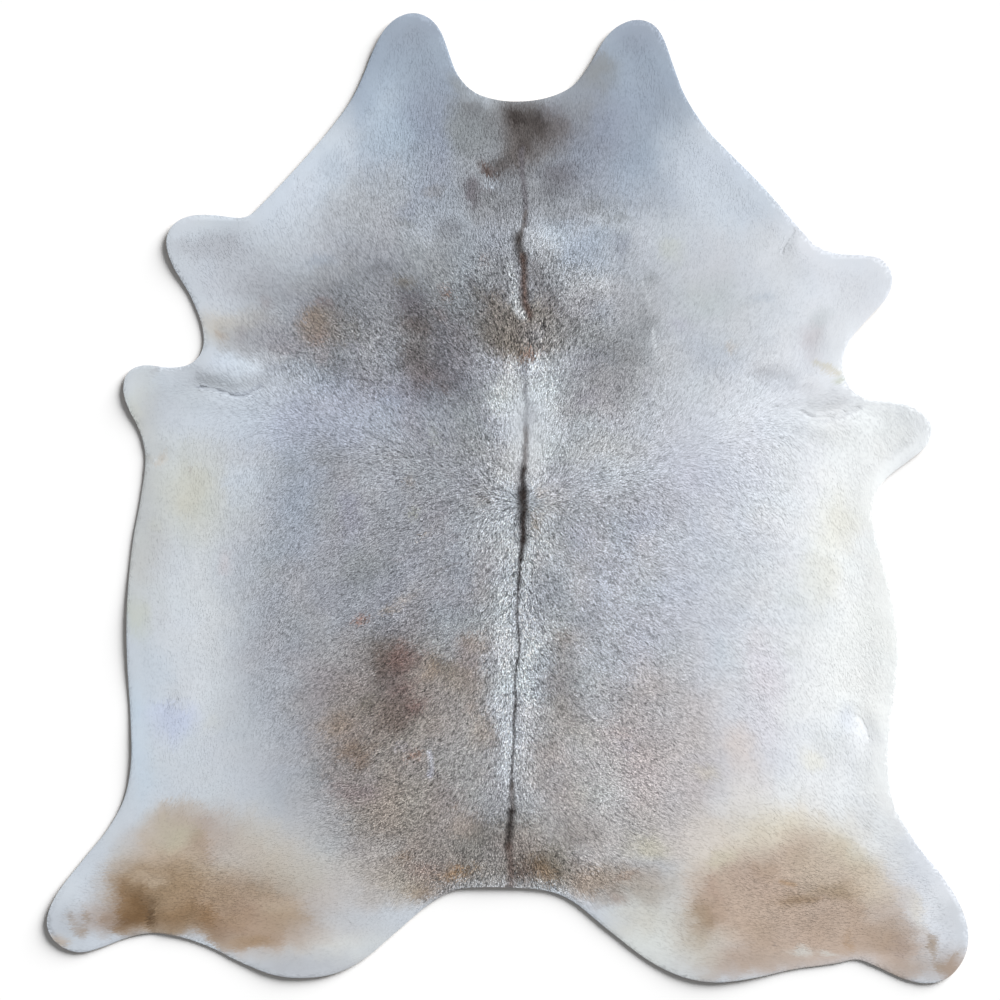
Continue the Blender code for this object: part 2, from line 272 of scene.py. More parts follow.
CENTRE_MARKS = (
    Mark(-222, 42, 15, 17, T.TAN, 0.6), Mark(-160, 140, 11, 22, T.OLIVE, 0.4),
    Mark(-120, 60, 16, 12, T.MAUVE, 0.5), Mark(-48, -16, 20, 12, T.MOLE, 0.7),
    Mark(-210, -30, 11, 20, T.OLIVE, 0.4), Mark(-185, -86, 13, 12, T.SAND, 0.6),
    Mark(-112, -95, 22, 10, T.MAUVE, 0.4), Mark(-245, -130, 30, 10, T.MAUVE, 0.4),
    Mark(-162, -161, 9, 4, T.DUN, 0.6), Mark(-258, -242, 30, 12, T.SAND, 0.6),
    Mark(-225, -220, 22, 9, T.SAND, 0.4), Mark(75, 15, 13, 11, T.TAN, 0.5),
    Mark(62, -35, 10, 34, T.TAN, 0.55), Mark(8, -70, 22, 32, T.DOVE, 0.6),
    Mark(62, -135, 14, 50, T.MAUVE, 0.35), Mark(200, -15, 24, 18, T.MAUVE, 0.2),
    Mark(-355, -20, 40, 90, T.VIOLET, 0.45), Mark(-395, 85, 40, 22, T.ASH, 0.5),
    Mark(-485, 62, 30, 22, T.ASH, 0.3), Mark(-330, -170, 60, 50, T.ASH, 0.4),
    Mark(-190, -150, 90, 90, T.GREY, 0.3), Mark(-60, -230, 170, 110, T.ASH, 0.3),
    Mark(-2, -330, 26, 210, T.MOON, 0.75, 0.8), Mark(44, -330, 18, 210, T.MOON, 0.6, 0.8),
    Mark(85, -210, 30, 70, T.GREY, 0.5), Mark(-50, -150, 30, 70, T.GREY, 0.5),
)
FLANK_MARKS = (
    Mark(-710, 20, 120, 140, T.OAT, 0.9), Mark(-710, 30, 50, 60, T.CHAFF, 0.25),
    # The mole mark at the pinch by the left flank's edge is painted shade in its crease.
    Mark(-812, 97, 22, 8, T.MOLE), Mark(-780, 97, 24, 8, T.SAND, 0.6), Mark(-712, 74, 6, 6, T.TAUPE, 0.6),
    Mark(-795, -60, 26, 16, T.OLIVE, 0.5), Mark(-830, -270, 34, 60, T.OLIVE, 0.6),
    Mark(-830, -120, 40, 110, T.OAT, 0.7), Mark(-618, -130, 20, 40, T.ROSE, 0.5),
    Mark(-600, 40, 40, 60, T.ICE, 0.5), Mark(-760, -500, 70, 60, T.LAVENDER),
    # The thin steel mark along the fold near the left hind flank is painted shade in its crease.
    Mark(-765, -462, 16, 5, T.STEEL, 0.5, turn=25), Mark(-660, -500, 34, 26, T.OAT, 0.3),
    Mark(750, -50, 60, 80, T.CREAM, 0.7), Mark(700, -170, 50, 90, T.CREAM, 0.7),
    Mark(690, -590, 34, 34, T.CREAM, 0.6), Mark(580, -400, 60, 160, T.BLOSSOM, 0.7),
    Mark(470, -350, 50, 70, T.FROST, 0.3), Mark(640, -220, 24, 20, T.OAT, 0.3),
    Mark(640, -345, 20, 18, T.OAT, 0.3),
)
LOIN_MARKS = (
    Mark(-260, -480, 220, 200, T.TAUPE, 0.95, 0.8), Mark(-250, -690, 210, 180, T.TAUPE, 0.95, 0.8),
    Mark(-170, -820, 170, 90, T.TAUPE, 0.9, 0.8), Mark(-290, -820, 100, 80, T.DUSK, 0.6),
    Mark(-10, -780, 110, 130, T.MOLE, 0.6), Mark(-250, -700, 90, 60, T.SAND, 0.12),
    Mark(-440, -420, 60, 90, T.MAUVE, 0.3), Mark(-254, -372, 60, 58, T.UMBER, 0.68, 0.8),
    Mark(-222, -362, 34, 40, T.RUSSET, 0.5), Mark(-250, -430, 50, 60, T.PLUM, 0.4),
    Mark(-248, -482, 66, 54, T.UMBER, 0.5, 0.8), Mark(-235, -515, 40, 24, T.UMBER, 0.3),
    Mark(-203, -478, 26, 24, T.RUSSET, 0.6), Mark(-225, -430, 36, 24, T.RUSSET, 0.4),
    Mark(-300, -430, 40, 40, T.DUN, 0.4), Mark(-250, -308, 46, 26, T.PLUM, 0.5),
    Mark(-328, -280, 18, 14, T.RUST), Mark(-68, -330, 34, 28, T.TAN, 0.6),
    Mark(-80, -385, 30, 60, T.MAUVE, 0.6), Mark(-130, -400, 40, 38, T.MOLE, 0.7),
    Mark(-172, -390, 24, 40, T.TAN, 0.5), Mark(-85, -472, 26, 20, T.RUST, 0.35),
    Mark(-62, -530, 30, 60, T.TAN, 0.35), Mark(-378, -500, 44, 50, T.TAN, 0.4),
    Mark(-320, -472, 30, 28, T.MOLE, 0.7), Mark(-340, -570, 42, 34, T.OCHRE, 0.5),
    Mark(-285, -560, 20, 14, T.OCHRE, 0.3), Mark(-425, -620, 22, 52, T.ASH, 0.5),
    Mark(-340, -650, 66, 28, T.MAUVE, 0.6), Mark(-203, -586, 22, 8, T.RUST),
    Mark(-225, -560, 18, 14, T.VIOLET, 0.4), Mark(-178, -627, 12, 10, T.PLUM, 0.9),
    Mark(-128, -697, 8, 10, T.OCHRE, 0.4), Mark(-100, -740, 46, 34, T.TAN, 0.3),
    Mark(-60, -760, 46, 46, T.MOLE, 0.5), Mark(125, -330, 20, 28, T.TAN, 0.4),
    Mark(120, -560, 60, 280, T.DOVE, 0.7, 0.8), Mark(130, -420, 44, 130, T.TAUPE, 0.65, 0.8),
    Mark(70, -790, 120, 90, T.TAUPE, 0.8, 0.8), Mark(310, -470, 170, 100, T.DUSK, 0.6, 0.8),
    Mark(290, -680, 270, 200, T.DUSK, 0.7, 0.8), Mark(250, -526, 24, 18, T.RUST, 0.35),
    Mark(268, -556, 26, 22, T.VIOLET, 0.5), Mark(110, -530, 40, 70, T.MAUVE, 0.45),
    Mark(430, -545, 110, 55, T.SAND, 0.25), Mark(520, -555, 44, 60, T.PEACH, 0.6),
    Mark(430, -622, 40, 24, T.CHAFF, 0.5), Mark(530, -630, 60, 60, T.PEACH, 0.4),
    Mark(150, -745, 66, 44, T.TAUPE, 0.6), Mark(300, -780, 60, 36, T.CHAFF, 0.5),
    Mark(470, -690, 40, 30, T.PEARL, 0.4),
)
TAIL_MARKS = (
    Mark(-95, -796, 13, 8, T.DUN), Mark(-240, -812, 30, 24, T.OCHRE, 0.6),
    Mark(-190, -840, 54, 26, T.RUST, 0.6), Mark(-110, -846, 50, 15, T.AMBER),
    Mark(-192, -877, 46, 24, T.OCHRE, 0.9), Mark(-178, -886, 17, 10, T.UMBER, 0.9),
    Mark(100, -800, 50, 44, T.MOLE, 0.6), Mark(50, -835, 80, 44, T.MOLE, 0.75, 0.7),
    Mark(75, -832, 46, 30, T.OCHRE, 0.6), Mark(22, -846, 34, 34, T.UMBER),
    Mark(190, -850, 90, 50, T.TAN, 0.7, 0.8), Mark(275, -858, 34, 11, T.RUST, 0.7, turn=8),
    Mark(240, -888, 22, 18, T.RUST, 0.4), Mark(302, -848, 8, 7, T.PLUM, 0.5),
    Mark(300, -880, 50, 30, T.TAUPE, 0.4),
)
HIND_MARKS = (
    Mark(-640, -810, 240, 130, T.STRAW, 0.9, 0.85), Mark(-740, -740, 90, 70, T.STRAW, 0.6),
    Mark(-650, -740, 60, 60, T.DUSK, 0.6), Mark(-780, -820, 120, 100, T.SAND, 0.9, 0.8, turn=30),
    Mark(-765, -895, 150, 100, T.TAN, 1.0, 0.75), Mark(-560, -935, 165, 100, T.NUT, 1.0, 0.7, turn=-12),
    Mark(-420, -930, 70, 80, T.DUSK, 0.7), Mark(-860, -945, 60, 44, T.OCHRE, 0.7, turn=20),
    Mark(-915, -950, 66, 50, T.NUT, 0.7), Mark(-700, -955, 110, 36, T.OCHRE, 0.6, turn=-6),
    Mark(-700, -880, 60, 40, T.AMBER, 0.2), Mark(-660, -930, 36, 28, T.AMBER, 0.4),
    Mark(-880, -975, 20, 16, T.OCHRE, 0.7), Mark(-800, -920, 34, 50, T.BARK, 0.85),
    # The narrow loam mark along the left hind shank's pinch fold is painted shadow in the crease.
    Mark(-793, -948, 11, 30, T.LOAM, 0.9), Mark(-848, -925, 24, 20, T.BARK, 0.5),
    Mark(-668, -790, 30, 44, T.NUT, 0.6, turn=20), Mark(-670, -730, 30, 30, T.MAUVE, 0.25),
    Mark(-600, -912, 34, 28, T.OCHRE, 0.3), Mark(-570, -1000, 50, 18, T.AMBER, 0.5),
    Mark(-535, -888, 40, 30, T.AMBER, 0.25), Mark(-572, -923, 3.5, 4, T.UMBER, 0.7),
    Mark(-938, -945, 9, 46, T.TAN, 0.8, turn=-6), Mark(-964, -958, 8, 36, T.TAN, 0.7, turn=25),
    Mark(-948, -985, 20, 14, T.TAN), Mark(-1008, -992, 28, 15, T.SAND, 0.9, turn=-30),
    Mark(625, -840, 235, 170, T.BEIGE, 0.9, 0.6, turn=-10),
    Mark(640, -920, 250, 150, T.BLUSH, 1.0, 0.55, turn=-8), Mark(870, -1015, 90, 60, T.BLUSH, 0.9, 0.8),
    Mark(540, -1045, 130, 36, T.NUT, 0.6), Mark(660, -800, 70, 60, T.BLUSH, 0.6),
    Mark(780, -810, 70, 44, T.CHAFF, 0.35, turn=-35), Mark(480, -800, 44, 28, T.CHAFF, 0.5, turn=25),
    Mark(445, -930, 36, 56, T.RUST, 0.3), Mark(455, -950, 16, 14, T.OCHRE, 0.3),
    Mark(425, -990, 24, 30, T.TAN, 0.5), Mark(467, -870, 16, 38, T.RUST, 0.25),
    Mark(580, -832, 42, 24, T.AMBER, 0.3), Mark(655, -815, 34, 38, T.NUT, 0.6),
    Mark(700, -880, 90, 36, T.NUT, 0.8, turn=-6), Mark(745, -885, 50, 24, T.TAN, 0.7),
    Mark(640, -895, 70, 20, T.TAN, 0.6, turn=4), Mark(840, -985, 80, 40, T.NUT, 0.7),
    Mark(885, -1015, 26, 34, T.MAUVE, 0.3), Mark(760, -990, 14, 28, T.AMBER, 0.35),
    Mark(570, -1000, 40, 40, T.NUT, 0.5), Mark(690, -960, 60, 38, T.NUT, 0.3),
    Mark(600, -1000, 5, 6, T.DUN, 0.5), Mark(650, -1024, 34, 14, T.CHALK, 0.6, turn=5),
    Mark(715, -1020, 28, 10, T.CHALK, 0.6), Mark(915, -930, 26, 60, T.BEIGE, 0.4, turn=20),
    Mark(948, -1010, 10, 46, T.TAN, 0.7, turn=12), Mark(968, -1054, 22, 15, T.TAN, 0.7),
    Mark(994, -1022, 9, 30, T.TAN, 0.55, turn=-25),
)
# Wide faint patches laid last. They are partly the hair's own tone and partly painted light: painted shade on
# the left and bottom margins and at the lower right tip, turned from the light, and painted light on the
# right margin.
BROAD_AND_SIDE_LIGHT_MARKS = (
    Mark(320, -130, 190, 260, T.LILAC, 0.62), Mark(-60, 60, 100, 70, T.SILVER, 0.35),
    Mark(-300, 150, 110, 60, T.MIST, 0.4), Mark(-450, 245, 100, 44, T.MIST, 0.5),
    Mark(-300, 450, 70, 40, T.GREY, 0.5), Mark(-300, 60, 90, 80, T.SILVER, 0.25),
    Mark(350, -120, 170, 180, T.MOON, 0.35), Mark(210, -570, 80, 170, T.SILVER, 0.4),
    Mark(310, -660, 120, 60, T.ROSE, 0.25), Mark(-20, 20, 90, 90, T.GREY, 0.3),
    # The frost and oat patches on the left margin here are painted shade on the side turned from the light.
    Mark(-830, -550, 40, 160, T.FROST, 0.6), Mark(-830, 200, 60, 110, T.OAT, 0.5),
    Mark(90, 360, 70, 46, T.GREY, 0.35), Mark(290, 650, 150, 56, T.STEEL, 0.22),
    Mark(650, -240, 100, 200, T.MOON, 0.35), Mark(-500, -400, 100, 400, T.GREY, 0.2),
    Mark(370, -540, 280, 230, T.ROSE, 0.36), Mark(150, -600, 160, 230, T.BEIGE, 0.16),
    Mark(-380, 180, 240, 105, T.LAVENDER, 0.5), Mark(-140, 90, 170, 100, T.SILVER, 0.3),
    Mark(-300, 400, 90, 100, T.SILVER, 0.3), Mark(-140, 262, 110, 66, T.PLUM, 0.55),
    Mark(40, 440, 90, 60, T.SILVER, 0.15), Mark(80, 668, 140, 66, T.SMOKE, 0.55),
    Mark(-150, 550, 100, 56, T.ASH, 0.42), Mark(105, 940, 76, 44, T.ASH, 0.75),
    Mark(190, 955, 70, 44, T.ASH, 0.4), Mark(250, 850, 160, 80, T.STEEL, 0.22),
    Mark(-550, 350, 110, 50, T.GREY), Mark(-600, -350, 90, 400, T.GREY, 0.3),
    Mark(-50, -380, 66, 340, T.TAUPE, 0.32), Mark(-4, -660, 56, 70, T.MOLE, 0.2),
    Mark(75, -590, 34, 80, T.TAUPE, 0.4), Mark(-50, -590, 44, 110, T.TAUPE, 0.4),
    Mark(-90, -405, 36, 60, T.MOLE, 0.3), Mark(-55, 200, 50, 60, T.GREY, 0.5),
    # The oat and dove patches along the left margin are painted shade on the side turned from the light.
    Mark(-815, -30, 66, 300, T.OAT, 0.6), Mark(-815, -60, 66, 330, T.DOVE, 0.45),
    Mark(-710, -745, 120, 70, T.BLUSH, 0.5), Mark(-500, -850, 190, 70, T.STRAW, 0.55),
    Mark(-790, -890, 120, 90, T.TAN, 0.5), Mark(-610, -890, 130, 70, T.NUT, 0.4),
    Mark(-690, -960, 100, 44, T.OCHRE, 0.45), Mark(-840, -930, 52, 60, T.OCHRE, 0.7, 0.7),
    Mark(-840, -955, 40, 34, T.BARK, 0.4), Mark(-818, -905, 34, 40, T.BARK, 0.4),
    # The narrow loam mark along the left hind shank's pinch fold is painted shadow in the crease.
    Mark(-787, -936, 15, 50, T.LOAM, 0.6, turn=-4), Mark(-730, -925, 40, 30, T.OCHRE, 0.3),
    Mark(-672, -935, 30, 24, T.OCHRE, 0.35), Mark(-640, -985, 40, 20, T.OCHRE, 0.35),
    Mark(-684, -790, 24, 50, T.TAN, 0.55, turn=12), Mark(-740, -850, 44, 22, T.TAN, 0.4, turn=20),
    Mark(-800, -850, 34, 18, T.SAND, 0.5), Mark(-560, -880, 44, 26, T.TAN, 0.45),
    Mark(-600, -940, 30, 24, T.TAN, 0.45), Mark(-520, -925, 36, 20, T.SAND, 0.5),
    Mark(-565, -995, 66, 22, T.TAN, 0.6), Mark(-470, -970, 60, 40, T.NUT, 0.5),
    Mark(-300, -870, 130, 66, T.DUSK, 0.6), Mark(-250, -855, 110, 46, T.TAUPE, 0.4),
    Mark(-60, -850, 100, 34, T.MOLE, 0.4), Mark(-230, -880, 90, 44, T.STRAW, 0.4),
    Mark(280, -860, 90, 46, T.TAUPE, 0.5), Mark(290, -930, 90, 70, T.STRAW, 0.4),
    # The grey patch at the left hind tip, the dusk patch at the lower edge and the dove patch along the
    # bottom margin in the next lines are painted shade on the side turned from the light.
    Mark(-980, -960, 100, 60, T.GREY, 0.4), Mark(-420, -960, 120, 90, T.DUSK, 0.5),
    Mark(-460, -1060, 170, 50, T.DOVE), Mark(510, -1060, 130, 40, T.NUT, 0.5),
    Mark(590, -850, 90, 40, T.BLUSH, 0.5), Mark(440, -1010, 80, 56, T.STRAW, 0.6),
    Mark(440, -935, 34, 56, T.TAN, 0.7), Mark(700, -840, 130, 60, T.BEIGE, 0.3, turn=-20),
    Mark(810, -870, 60, 50, T.BEIGE, 0.5, turn=-40), Mark(640, -715, 90, 34, T.BEIGE, 0.5),
    Mark(745, -885, 50, 30, T.TAN, 0.3), Mark(-340, -955, 90, 44, T.SILVER, 0.6),
    Mark(-500, -940, 60, 40, T.SAND, 0.5), Mark(-600, -800, 110, 50, T.DUSK, 0.5),
    Mark(-740, -760, 60, 40, T.OLIVE, 0.4), Mark(-640, -895, 60, 34, T.TAN, 0.5),
    Mark(560, -960, 50, 24, T.NUT, 0.35), Mark(790, -930, 40, 60, T.NUT, 0.35, turn=20),
    Mark(850, -1000, 70, 26, T.NUT, 0.5, turn=-10), Mark(900, -1060, 80, 34, T.NUT, 0.6),
    # The nut patch at the lower right tip is partly the hair's own warm tone and partly painted shade on the
    # tip turned from the light.
    Mark(1000, -1050, 50, 50, T.NUT, 0.9), Mark(1000, -950, 40, 60, T.SILVER, 0.4),
    # The snow patches on the right margin are painted light on the side facing the light.
    Mark(840, -480, 60, 330, T.SNOW, 0.5), Mark(800, 150, 150, 66, T.SNOW, 0.45),
    Mark(620, -660, 170, 70, T.SNOW, 0.3), Mark(420, -760, 100, 66, T.PEACH, 0.4),
    Mark(640, 560, 110, 66, T.PEARL, 0.5), Mark(540, 80, 110, 130, T.PEARL, 0.45),
    Mark(500, -120, 110, 200, T.MOON, 0.4), Mark(200, -420, 70, 130, T.SILVER, 0.4),
    Mark(100, -500, 50, 90, T.SILVER, 0.25), Mark(80, -750, 60, 40, T.SILVER, 0.2),
    Mark(-70, 60, 100, 120, T.SILVER, 0.4), Mark(-100, -60, 60, 60, T.SILVER, 0.3),
    Mark(700, 350, 60, 60, T.DOVE, 0.25), Mark(200, 955, 50, 40, T.ASH, 0.5),
    Mark(-200, 1050, 90, 60, T.STEEL, 0.35), Mark(300, 1050, 90, 60, T.STEEL, 0.35),
    # The frost and dove patches on the left margin are painted shade on the side turned from the light.
    Mark(-820, -500, 70, 220, T.FROST, 0.35), Mark(-790, 200, 70, 60, T.DOVE, 0.4),
    Mark(1, -460, 26, 200, T.MOON, 0.6, 0.7, turn=2), Mark(43, -450, 20, 200, T.MOON, 0.45, 0.7, turn=2),
    Mark(0, 45, 40, 40, T.MOON, 0.4), Mark(205, -400, 70, 120, T.MOON, 0.35),
    Mark(200, -650, 66, 70, T.MOON, 0.3), Mark(-300, 60, 80, 70, T.SILVER, 0.3),
    Mark(-220, 750, 120, 50, T.MIST, 0.2), Mark(-560, 350, 90, 44, T.GREY, 0.35),
    Mark(-690, -735, 140, 60, T.TAUPE, 0.2), Mark(-500, -645, 66, 80, T.GREY, 0.45),
    Mark(-800, -560, 70, 90, T.SILVER, 0.3), Mark(-850, -780, 40, 60, T.SILVER, 0.4),
    Mark(-520, -860, 90, 50, T.TAUPE, 0.2), Mark(-440, -950, 60, 40, T.TAUPE, 0.2),
    Mark(-200, -850, 60, 30, T.TAUPE, 0.4), Mark(600, -750, 70, 40, T.BEIGE, 0.4),
    Mark(-550, 220, 90, 60, T.ICE, 0.4), Mark(-400, 750, 50, 40, T.SLATE, 0.3),
    Mark(480, -50, 90, 70, T.PEARL, 0.25), Mark(800, -560, 60, 80, T.PEARL, 0.4),
    Mark(760, -495, 40, 40, T.LAVENDER, 0.3), Mark(210, 950, 60, 60, T.ASH, 0.6),
    Mark(-505, -950, 66, 40, T.TAN, 0.5), Mark(-770, -975, 110, 26, T.TAN, 0.6),
    Mark(-860, -985, 40, 26, T.TAN, 0.5), Mark(-650, -995, 60, 20, T.TAN, 0.5, turn=-20),
    Mark(760, -850, 90, 50, T.SAND, 0.3, turn=-20), Mark(310, -860, 80, 40, T.SAND, 0.35),
    Mark(400, -950, 50, 60, T.STRAW, 0.4), Mark(-95, -450, 60, 90, T.SAND, 0.2),
    # The two moon patches either side of the spine at the withers are painted sheen where the hair parts off
    # it.
    Mark(6, 110, 21, 90, T.MOON, 0.95, 0.5, turn=2), Mark(66, 105, 26, 90, T.MOON, 0.95, 0.5, turn=-2),
)
MARKS = (GROUND_AND_SIDE_LIGHT_MARKS + NECK_MARKS + WITHERS_MARKS + SHOULDER_MARKS + CENTRE_MARKS + FLANK_MARKS + LOIN_MARKS
         + TAIL_MARKS + HIND_MARKS + BROAD_AND_SIDE_LIGHT_MARKS)

STREAKS = (
    Streak(((30, 780), (36, 700), (40, 610)), 6, T.PLUM, 0.7),
    Streak(((40, 640), (34, 600), (24, 575)), 5, T.DUN, 0.8),
    Streak(((24, 585), (26, 560), (36, 535)), 13, T.SABLE, 0.9),
    Streak(((36, 540), (43, 515), (37, 470), (38, 435), (46, 408)), 9, T.UMBER, 0.95),
    Streak(((8, 520), (13, 502), (20, 488), (13, 462), (18, 430), (32, 406)), 8, T.MOON, 0.7),
    Streak(((40, 300), (39, 230)), 4, T.GREY, 0.4),
    Streak(((39, 250), (38, 150)), 4.5, T.SMOKE, 0.5),
    Streak(((744, 280), (715, 292), (690, 300)), 6, T.CHAFF, 0.5),
    Streak(((38, 150), (37, 60)), 6.5, T.DUN, 0.75),
    Streak(((37, 60), (34, 0)), 8, T.PITCH, 0.95),
    Streak(((35, 10), (32, -50), (31, -90)), 11, T.PITCH, 1.0),
    Streak(((31, -90), (29, -135)), 6, T.PITCH, 0.95),
    Streak(((29, -135), (27, -200)), 3.6, T.PITCH, 0.9),
    Streak(((27, -200), (22, -350), (18, -460)), 3.2, T.PITCH, 0.85),
    Streak(((18, -460), (14, -560), (10, -650)), 3.4, T.PITCH, 0.85),
    Streak(((10, -640), (8, -700)), 7, T.DUN, 0.8),
    Streak(((6, -700), (2, -745), (0, -780)), 9, T.PITCH, 0.9),
    Streak(((0, -780), (4, -870)), 9, T.UMBER, 0.7),
    Streak(((-70, 4), (-50, 4), (-38, -8)), 2.2, T.SABLE, 0.6),
    Streak(((-160, -162), (-130, -150), (-100, -142)), 2.0, T.DUN, 0.5),
    Streak(((-172, -570), (-170, -600), (-176, -622)), 6, T.LILAC, 0.5),
    Streak(((322, 374), (328, 345), (332, 318)), 4.2, T.MOON, 0.75),
    Streak(((302, 480), (308, 450), (318, 430)), 4, T.MOON, 0.45),
    Streak(((640, -868), (610, -862)), 6, T.AMBER, 0.5),
    Streak(((605, -908), (640, -906), (700, -900)), 5.5, T.OCHRE, 0.25),
    # The next two streaks run along the armpit folds: painted shade in the creases.
    Streak(((-690, 251), (-645, 243), (-600, 229), (-575, 236), (-552, 252)), 4, T.STEEL, 0.45),
    Streak(((655, 200), (682, 183), (716, 180), (752, 190), (790, 210)), 4, T.DOVE, 0.35),
)

TICKINGS = (
    Ticking(-60, -60, 740, 1020, 0.25),
    Ticking(-20, 640, 470, 450, 0.12),
    Ticking(-500, -250, 110, 480, 0.13),
    Ticking(150, -60, 280, 900, 0.24),
    Ticking(20, -200, 140, 1050, 0.46),
    Ticking(18, -420, 34, 260, 0.34),
    Ticking(-220, -560, 300, 440, 0.39),
    Ticking(220, -560, 300, 420, 0.26),
    Ticking(20, 400, 260, 230, 0.54),
    Ticking(45, 365, 110, 90, 0.7),
    Ticking(-250, 340, 380, 180, 0.40),
    Ticking(0, -840, 340, 110, 0.40),
    Ticking(-680, -880, 300, 170, 0.06),
    Ticking(640, -900, 320, 190, 0.07),
    Ticking(40, 150, 100, 220, 0.05),
    Ticking(540, 100, 200, 500, 0.08),
    Ticking(560, -380, 120, 300, 0.06),
    Ticking(830, -150, 190, 640, 0.002),
)

FOLDS = (
    Fold(((-690, 251), (-645, 243), (-622, 232), (-598, 228), (-578, 236), (-552, 252)), 2.8, 0.8, 0.12),
    Fold(((660, 198), (682, 181), (716, 180), (752, 190), (790, 206)), 2.8, 0.5, 0.1),
    Fold(((645, 603), (630, 587), (619, 553)), 3.0, 0.6, 0.1),
    Fold(((-806, 97), (-795, 92), (-780, 92)), 3.2, 0.9, 0.2),
    Fold(((-793, -968), (-790, -940), (-784, -905)), 4.0, 0.35, 0.1),
    Fold(((745, -490), (778, -480), (802, -506), (812, -540)), 3.6, 0.25, 0.1),
    Fold(((-778, -476), (-764, -466), (-745, -450)), 3.6, 0.5, 0.2),
    Fold(((-475, 727), (-475, 693)), 2.4, 0.4, 0.1),
)


def smooth_fall(distance: Array) -> Array:
    """1 at zero, falling smoothly to exactly 0 from 1 on."""
    rest = np.clip(1.0 - distance, 0.0, 1.0)
    return rest * rest * (3.0 - 2.0 * rest)


def unit(vectors: Array) -> Array:
    """The same directions, each 1 long."""
    return vectors / np.linalg.norm(vectors, axis=1)[:, None]


def turned_area(loop: Array) -> float:
    """The flat area inside a loop, negative if it runs clockwise."""
    x, y = loop.T
    return 0.5 * float(np.sum(x * np.roll(y, -1) - np.roll(x, -1) * y))


def rounded(route: Route, times: int = 2) -> Array:
    """A line of chords with its corners cut round.

    Args:
        route: The line's points.
        times: How often the corners are cut.

    Returns:
        The finer line's points.
    """
    points = np.array(route, float)
    for _ in range(times if len(points) > 2 else 0):
        near = 0.75 * points[:-1] + 0.25 * points[1:]
        far = 0.25 * points[:-1] + 0.75 * points[1:]
        inner = np.stack([near, far], axis=1).reshape(-1, 2)
        points = np.vstack([points[:1], inner, points[-1:]])
    return points


def chord_gap(x: Array, y: Array, start: Array, end: Array) -> Array:
    """Shortest distance from each point to one chord.

    Args:
        x, y: Points across and along the hide.
        start, end: The chord's ends.

    Returns:
        One distance for each point.
    """
    (ax, ay), (bx, by) = start, end
    run_x, run_y = bx - ax, by - ay
    along = ((x - ax) * run_x + (y - ay) * run_y) / (run_x * run_x + run_y * run_y)
    along = np.clip(along, 0.0, 1.0)
    return np.hypot(x - ax - along * run_x, y - ay - along * run_y)


def between(grid: Array, across: Array, along: Array, eased: bool) -> Array:
    """Read a grid between its points.

    Args:
        grid: The grid, a row for each step along the hide.
        across, along: Places on it, counted in its cells.
        eased: Whether the change slows down near the grid's points.

    Returns:
        One value for each place.
    """
    ix, iy = across.astype(int), along.astype(int)
    fx, fy = across - ix, along - iy
    if eased:
        fx, fy = fx * fx * (3.0 - 2.0 * fx), fy * fy * (3.0 - 2.0 * fy)
    low = grid[iy, ix] * (1.0 - fx) + grid[iy, ix + 1] * fx
    high = grid[iy + 1, ix] * (1.0 - fx) + grid[iy + 1, ix + 1] * fx
    return low * (1.0 - fy) + high * fy


def lay_over(colours: Array, share: Array, tone: Tone) -> None:
    """Lay a tone over colours, as strong at each point as its share."""
    hit = share > 0.0
    colours[hit] += share[hit, None] * (tone.linear - colours[hit])


def distance_to_route(x: Array, y: Array, route: Route) -> Array:
    """Shortest distance from each point to a line, its corners rounded.

    Args:
        x, y: Points across and along the hide.
        route: The line's points.

    Returns:
        One distance for each point.
    """
    route = rounded(route)
    best = np.full(len(x), np.inf)
    for start, end in zip(route, route[1:]):
        best = np.minimum(best, chord_gap(x, y, start, end))
    return best


@dataclass
class Mottle:
    """Smooth random variation over the hide, alike in every run."""

    cell: float
    seed: int
    span: float = 2600.0

    def __post_init__(self) -> None:
        """Draw the lattice that the variation is read from."""
        count = int(self.span / self.cell) + 4
        self.lattice = np.random.default_rng(self.seed).uniform(-1.0, 1.0, (count, count))

    def at(self, x: Array, y: Array) -> Array:
        """The variation at each point.

        Args:
            x, y: Points across and along the hide.

        Returns:
            Values from -1 to 1.
        """
        last = len(self.lattice) - 2
        across, along = (np.clip((part + self.span / 2.0) / self.cell, 0.0, last) for part in (x, y))
        return between(self.lattice, across, along, True)


@dataclass(frozen=True)
class Lie:
    """How far the hair lies turned from straight back, in degrees, at distances out from the spine."""

    out: tuple[float, ...]
    degrees: tuple[float, ...]

    def at(self, off: Array) -> Array:
        """The turn at each distance from the spine."""
        return np.interp(off, self.out, self.degrees)


BACK_LIE = Lie((0, 70, 130, 200, 300, 400, 550, 700, 900), (8, 30, 45, 52, 56, 54, 38, 14, 10))
RUMP_LIE = Lie((0, 100, 300, 400, 900), (8, 34, 61, 74, 84))
FRONT_LEFT_LIE = Lie((0, 60, 150, 500), (176, 160, 142, 140))
FRONT_RIGHT_LIE = Lie((0, 60, 150, 500), (176, 165, 156, 152))


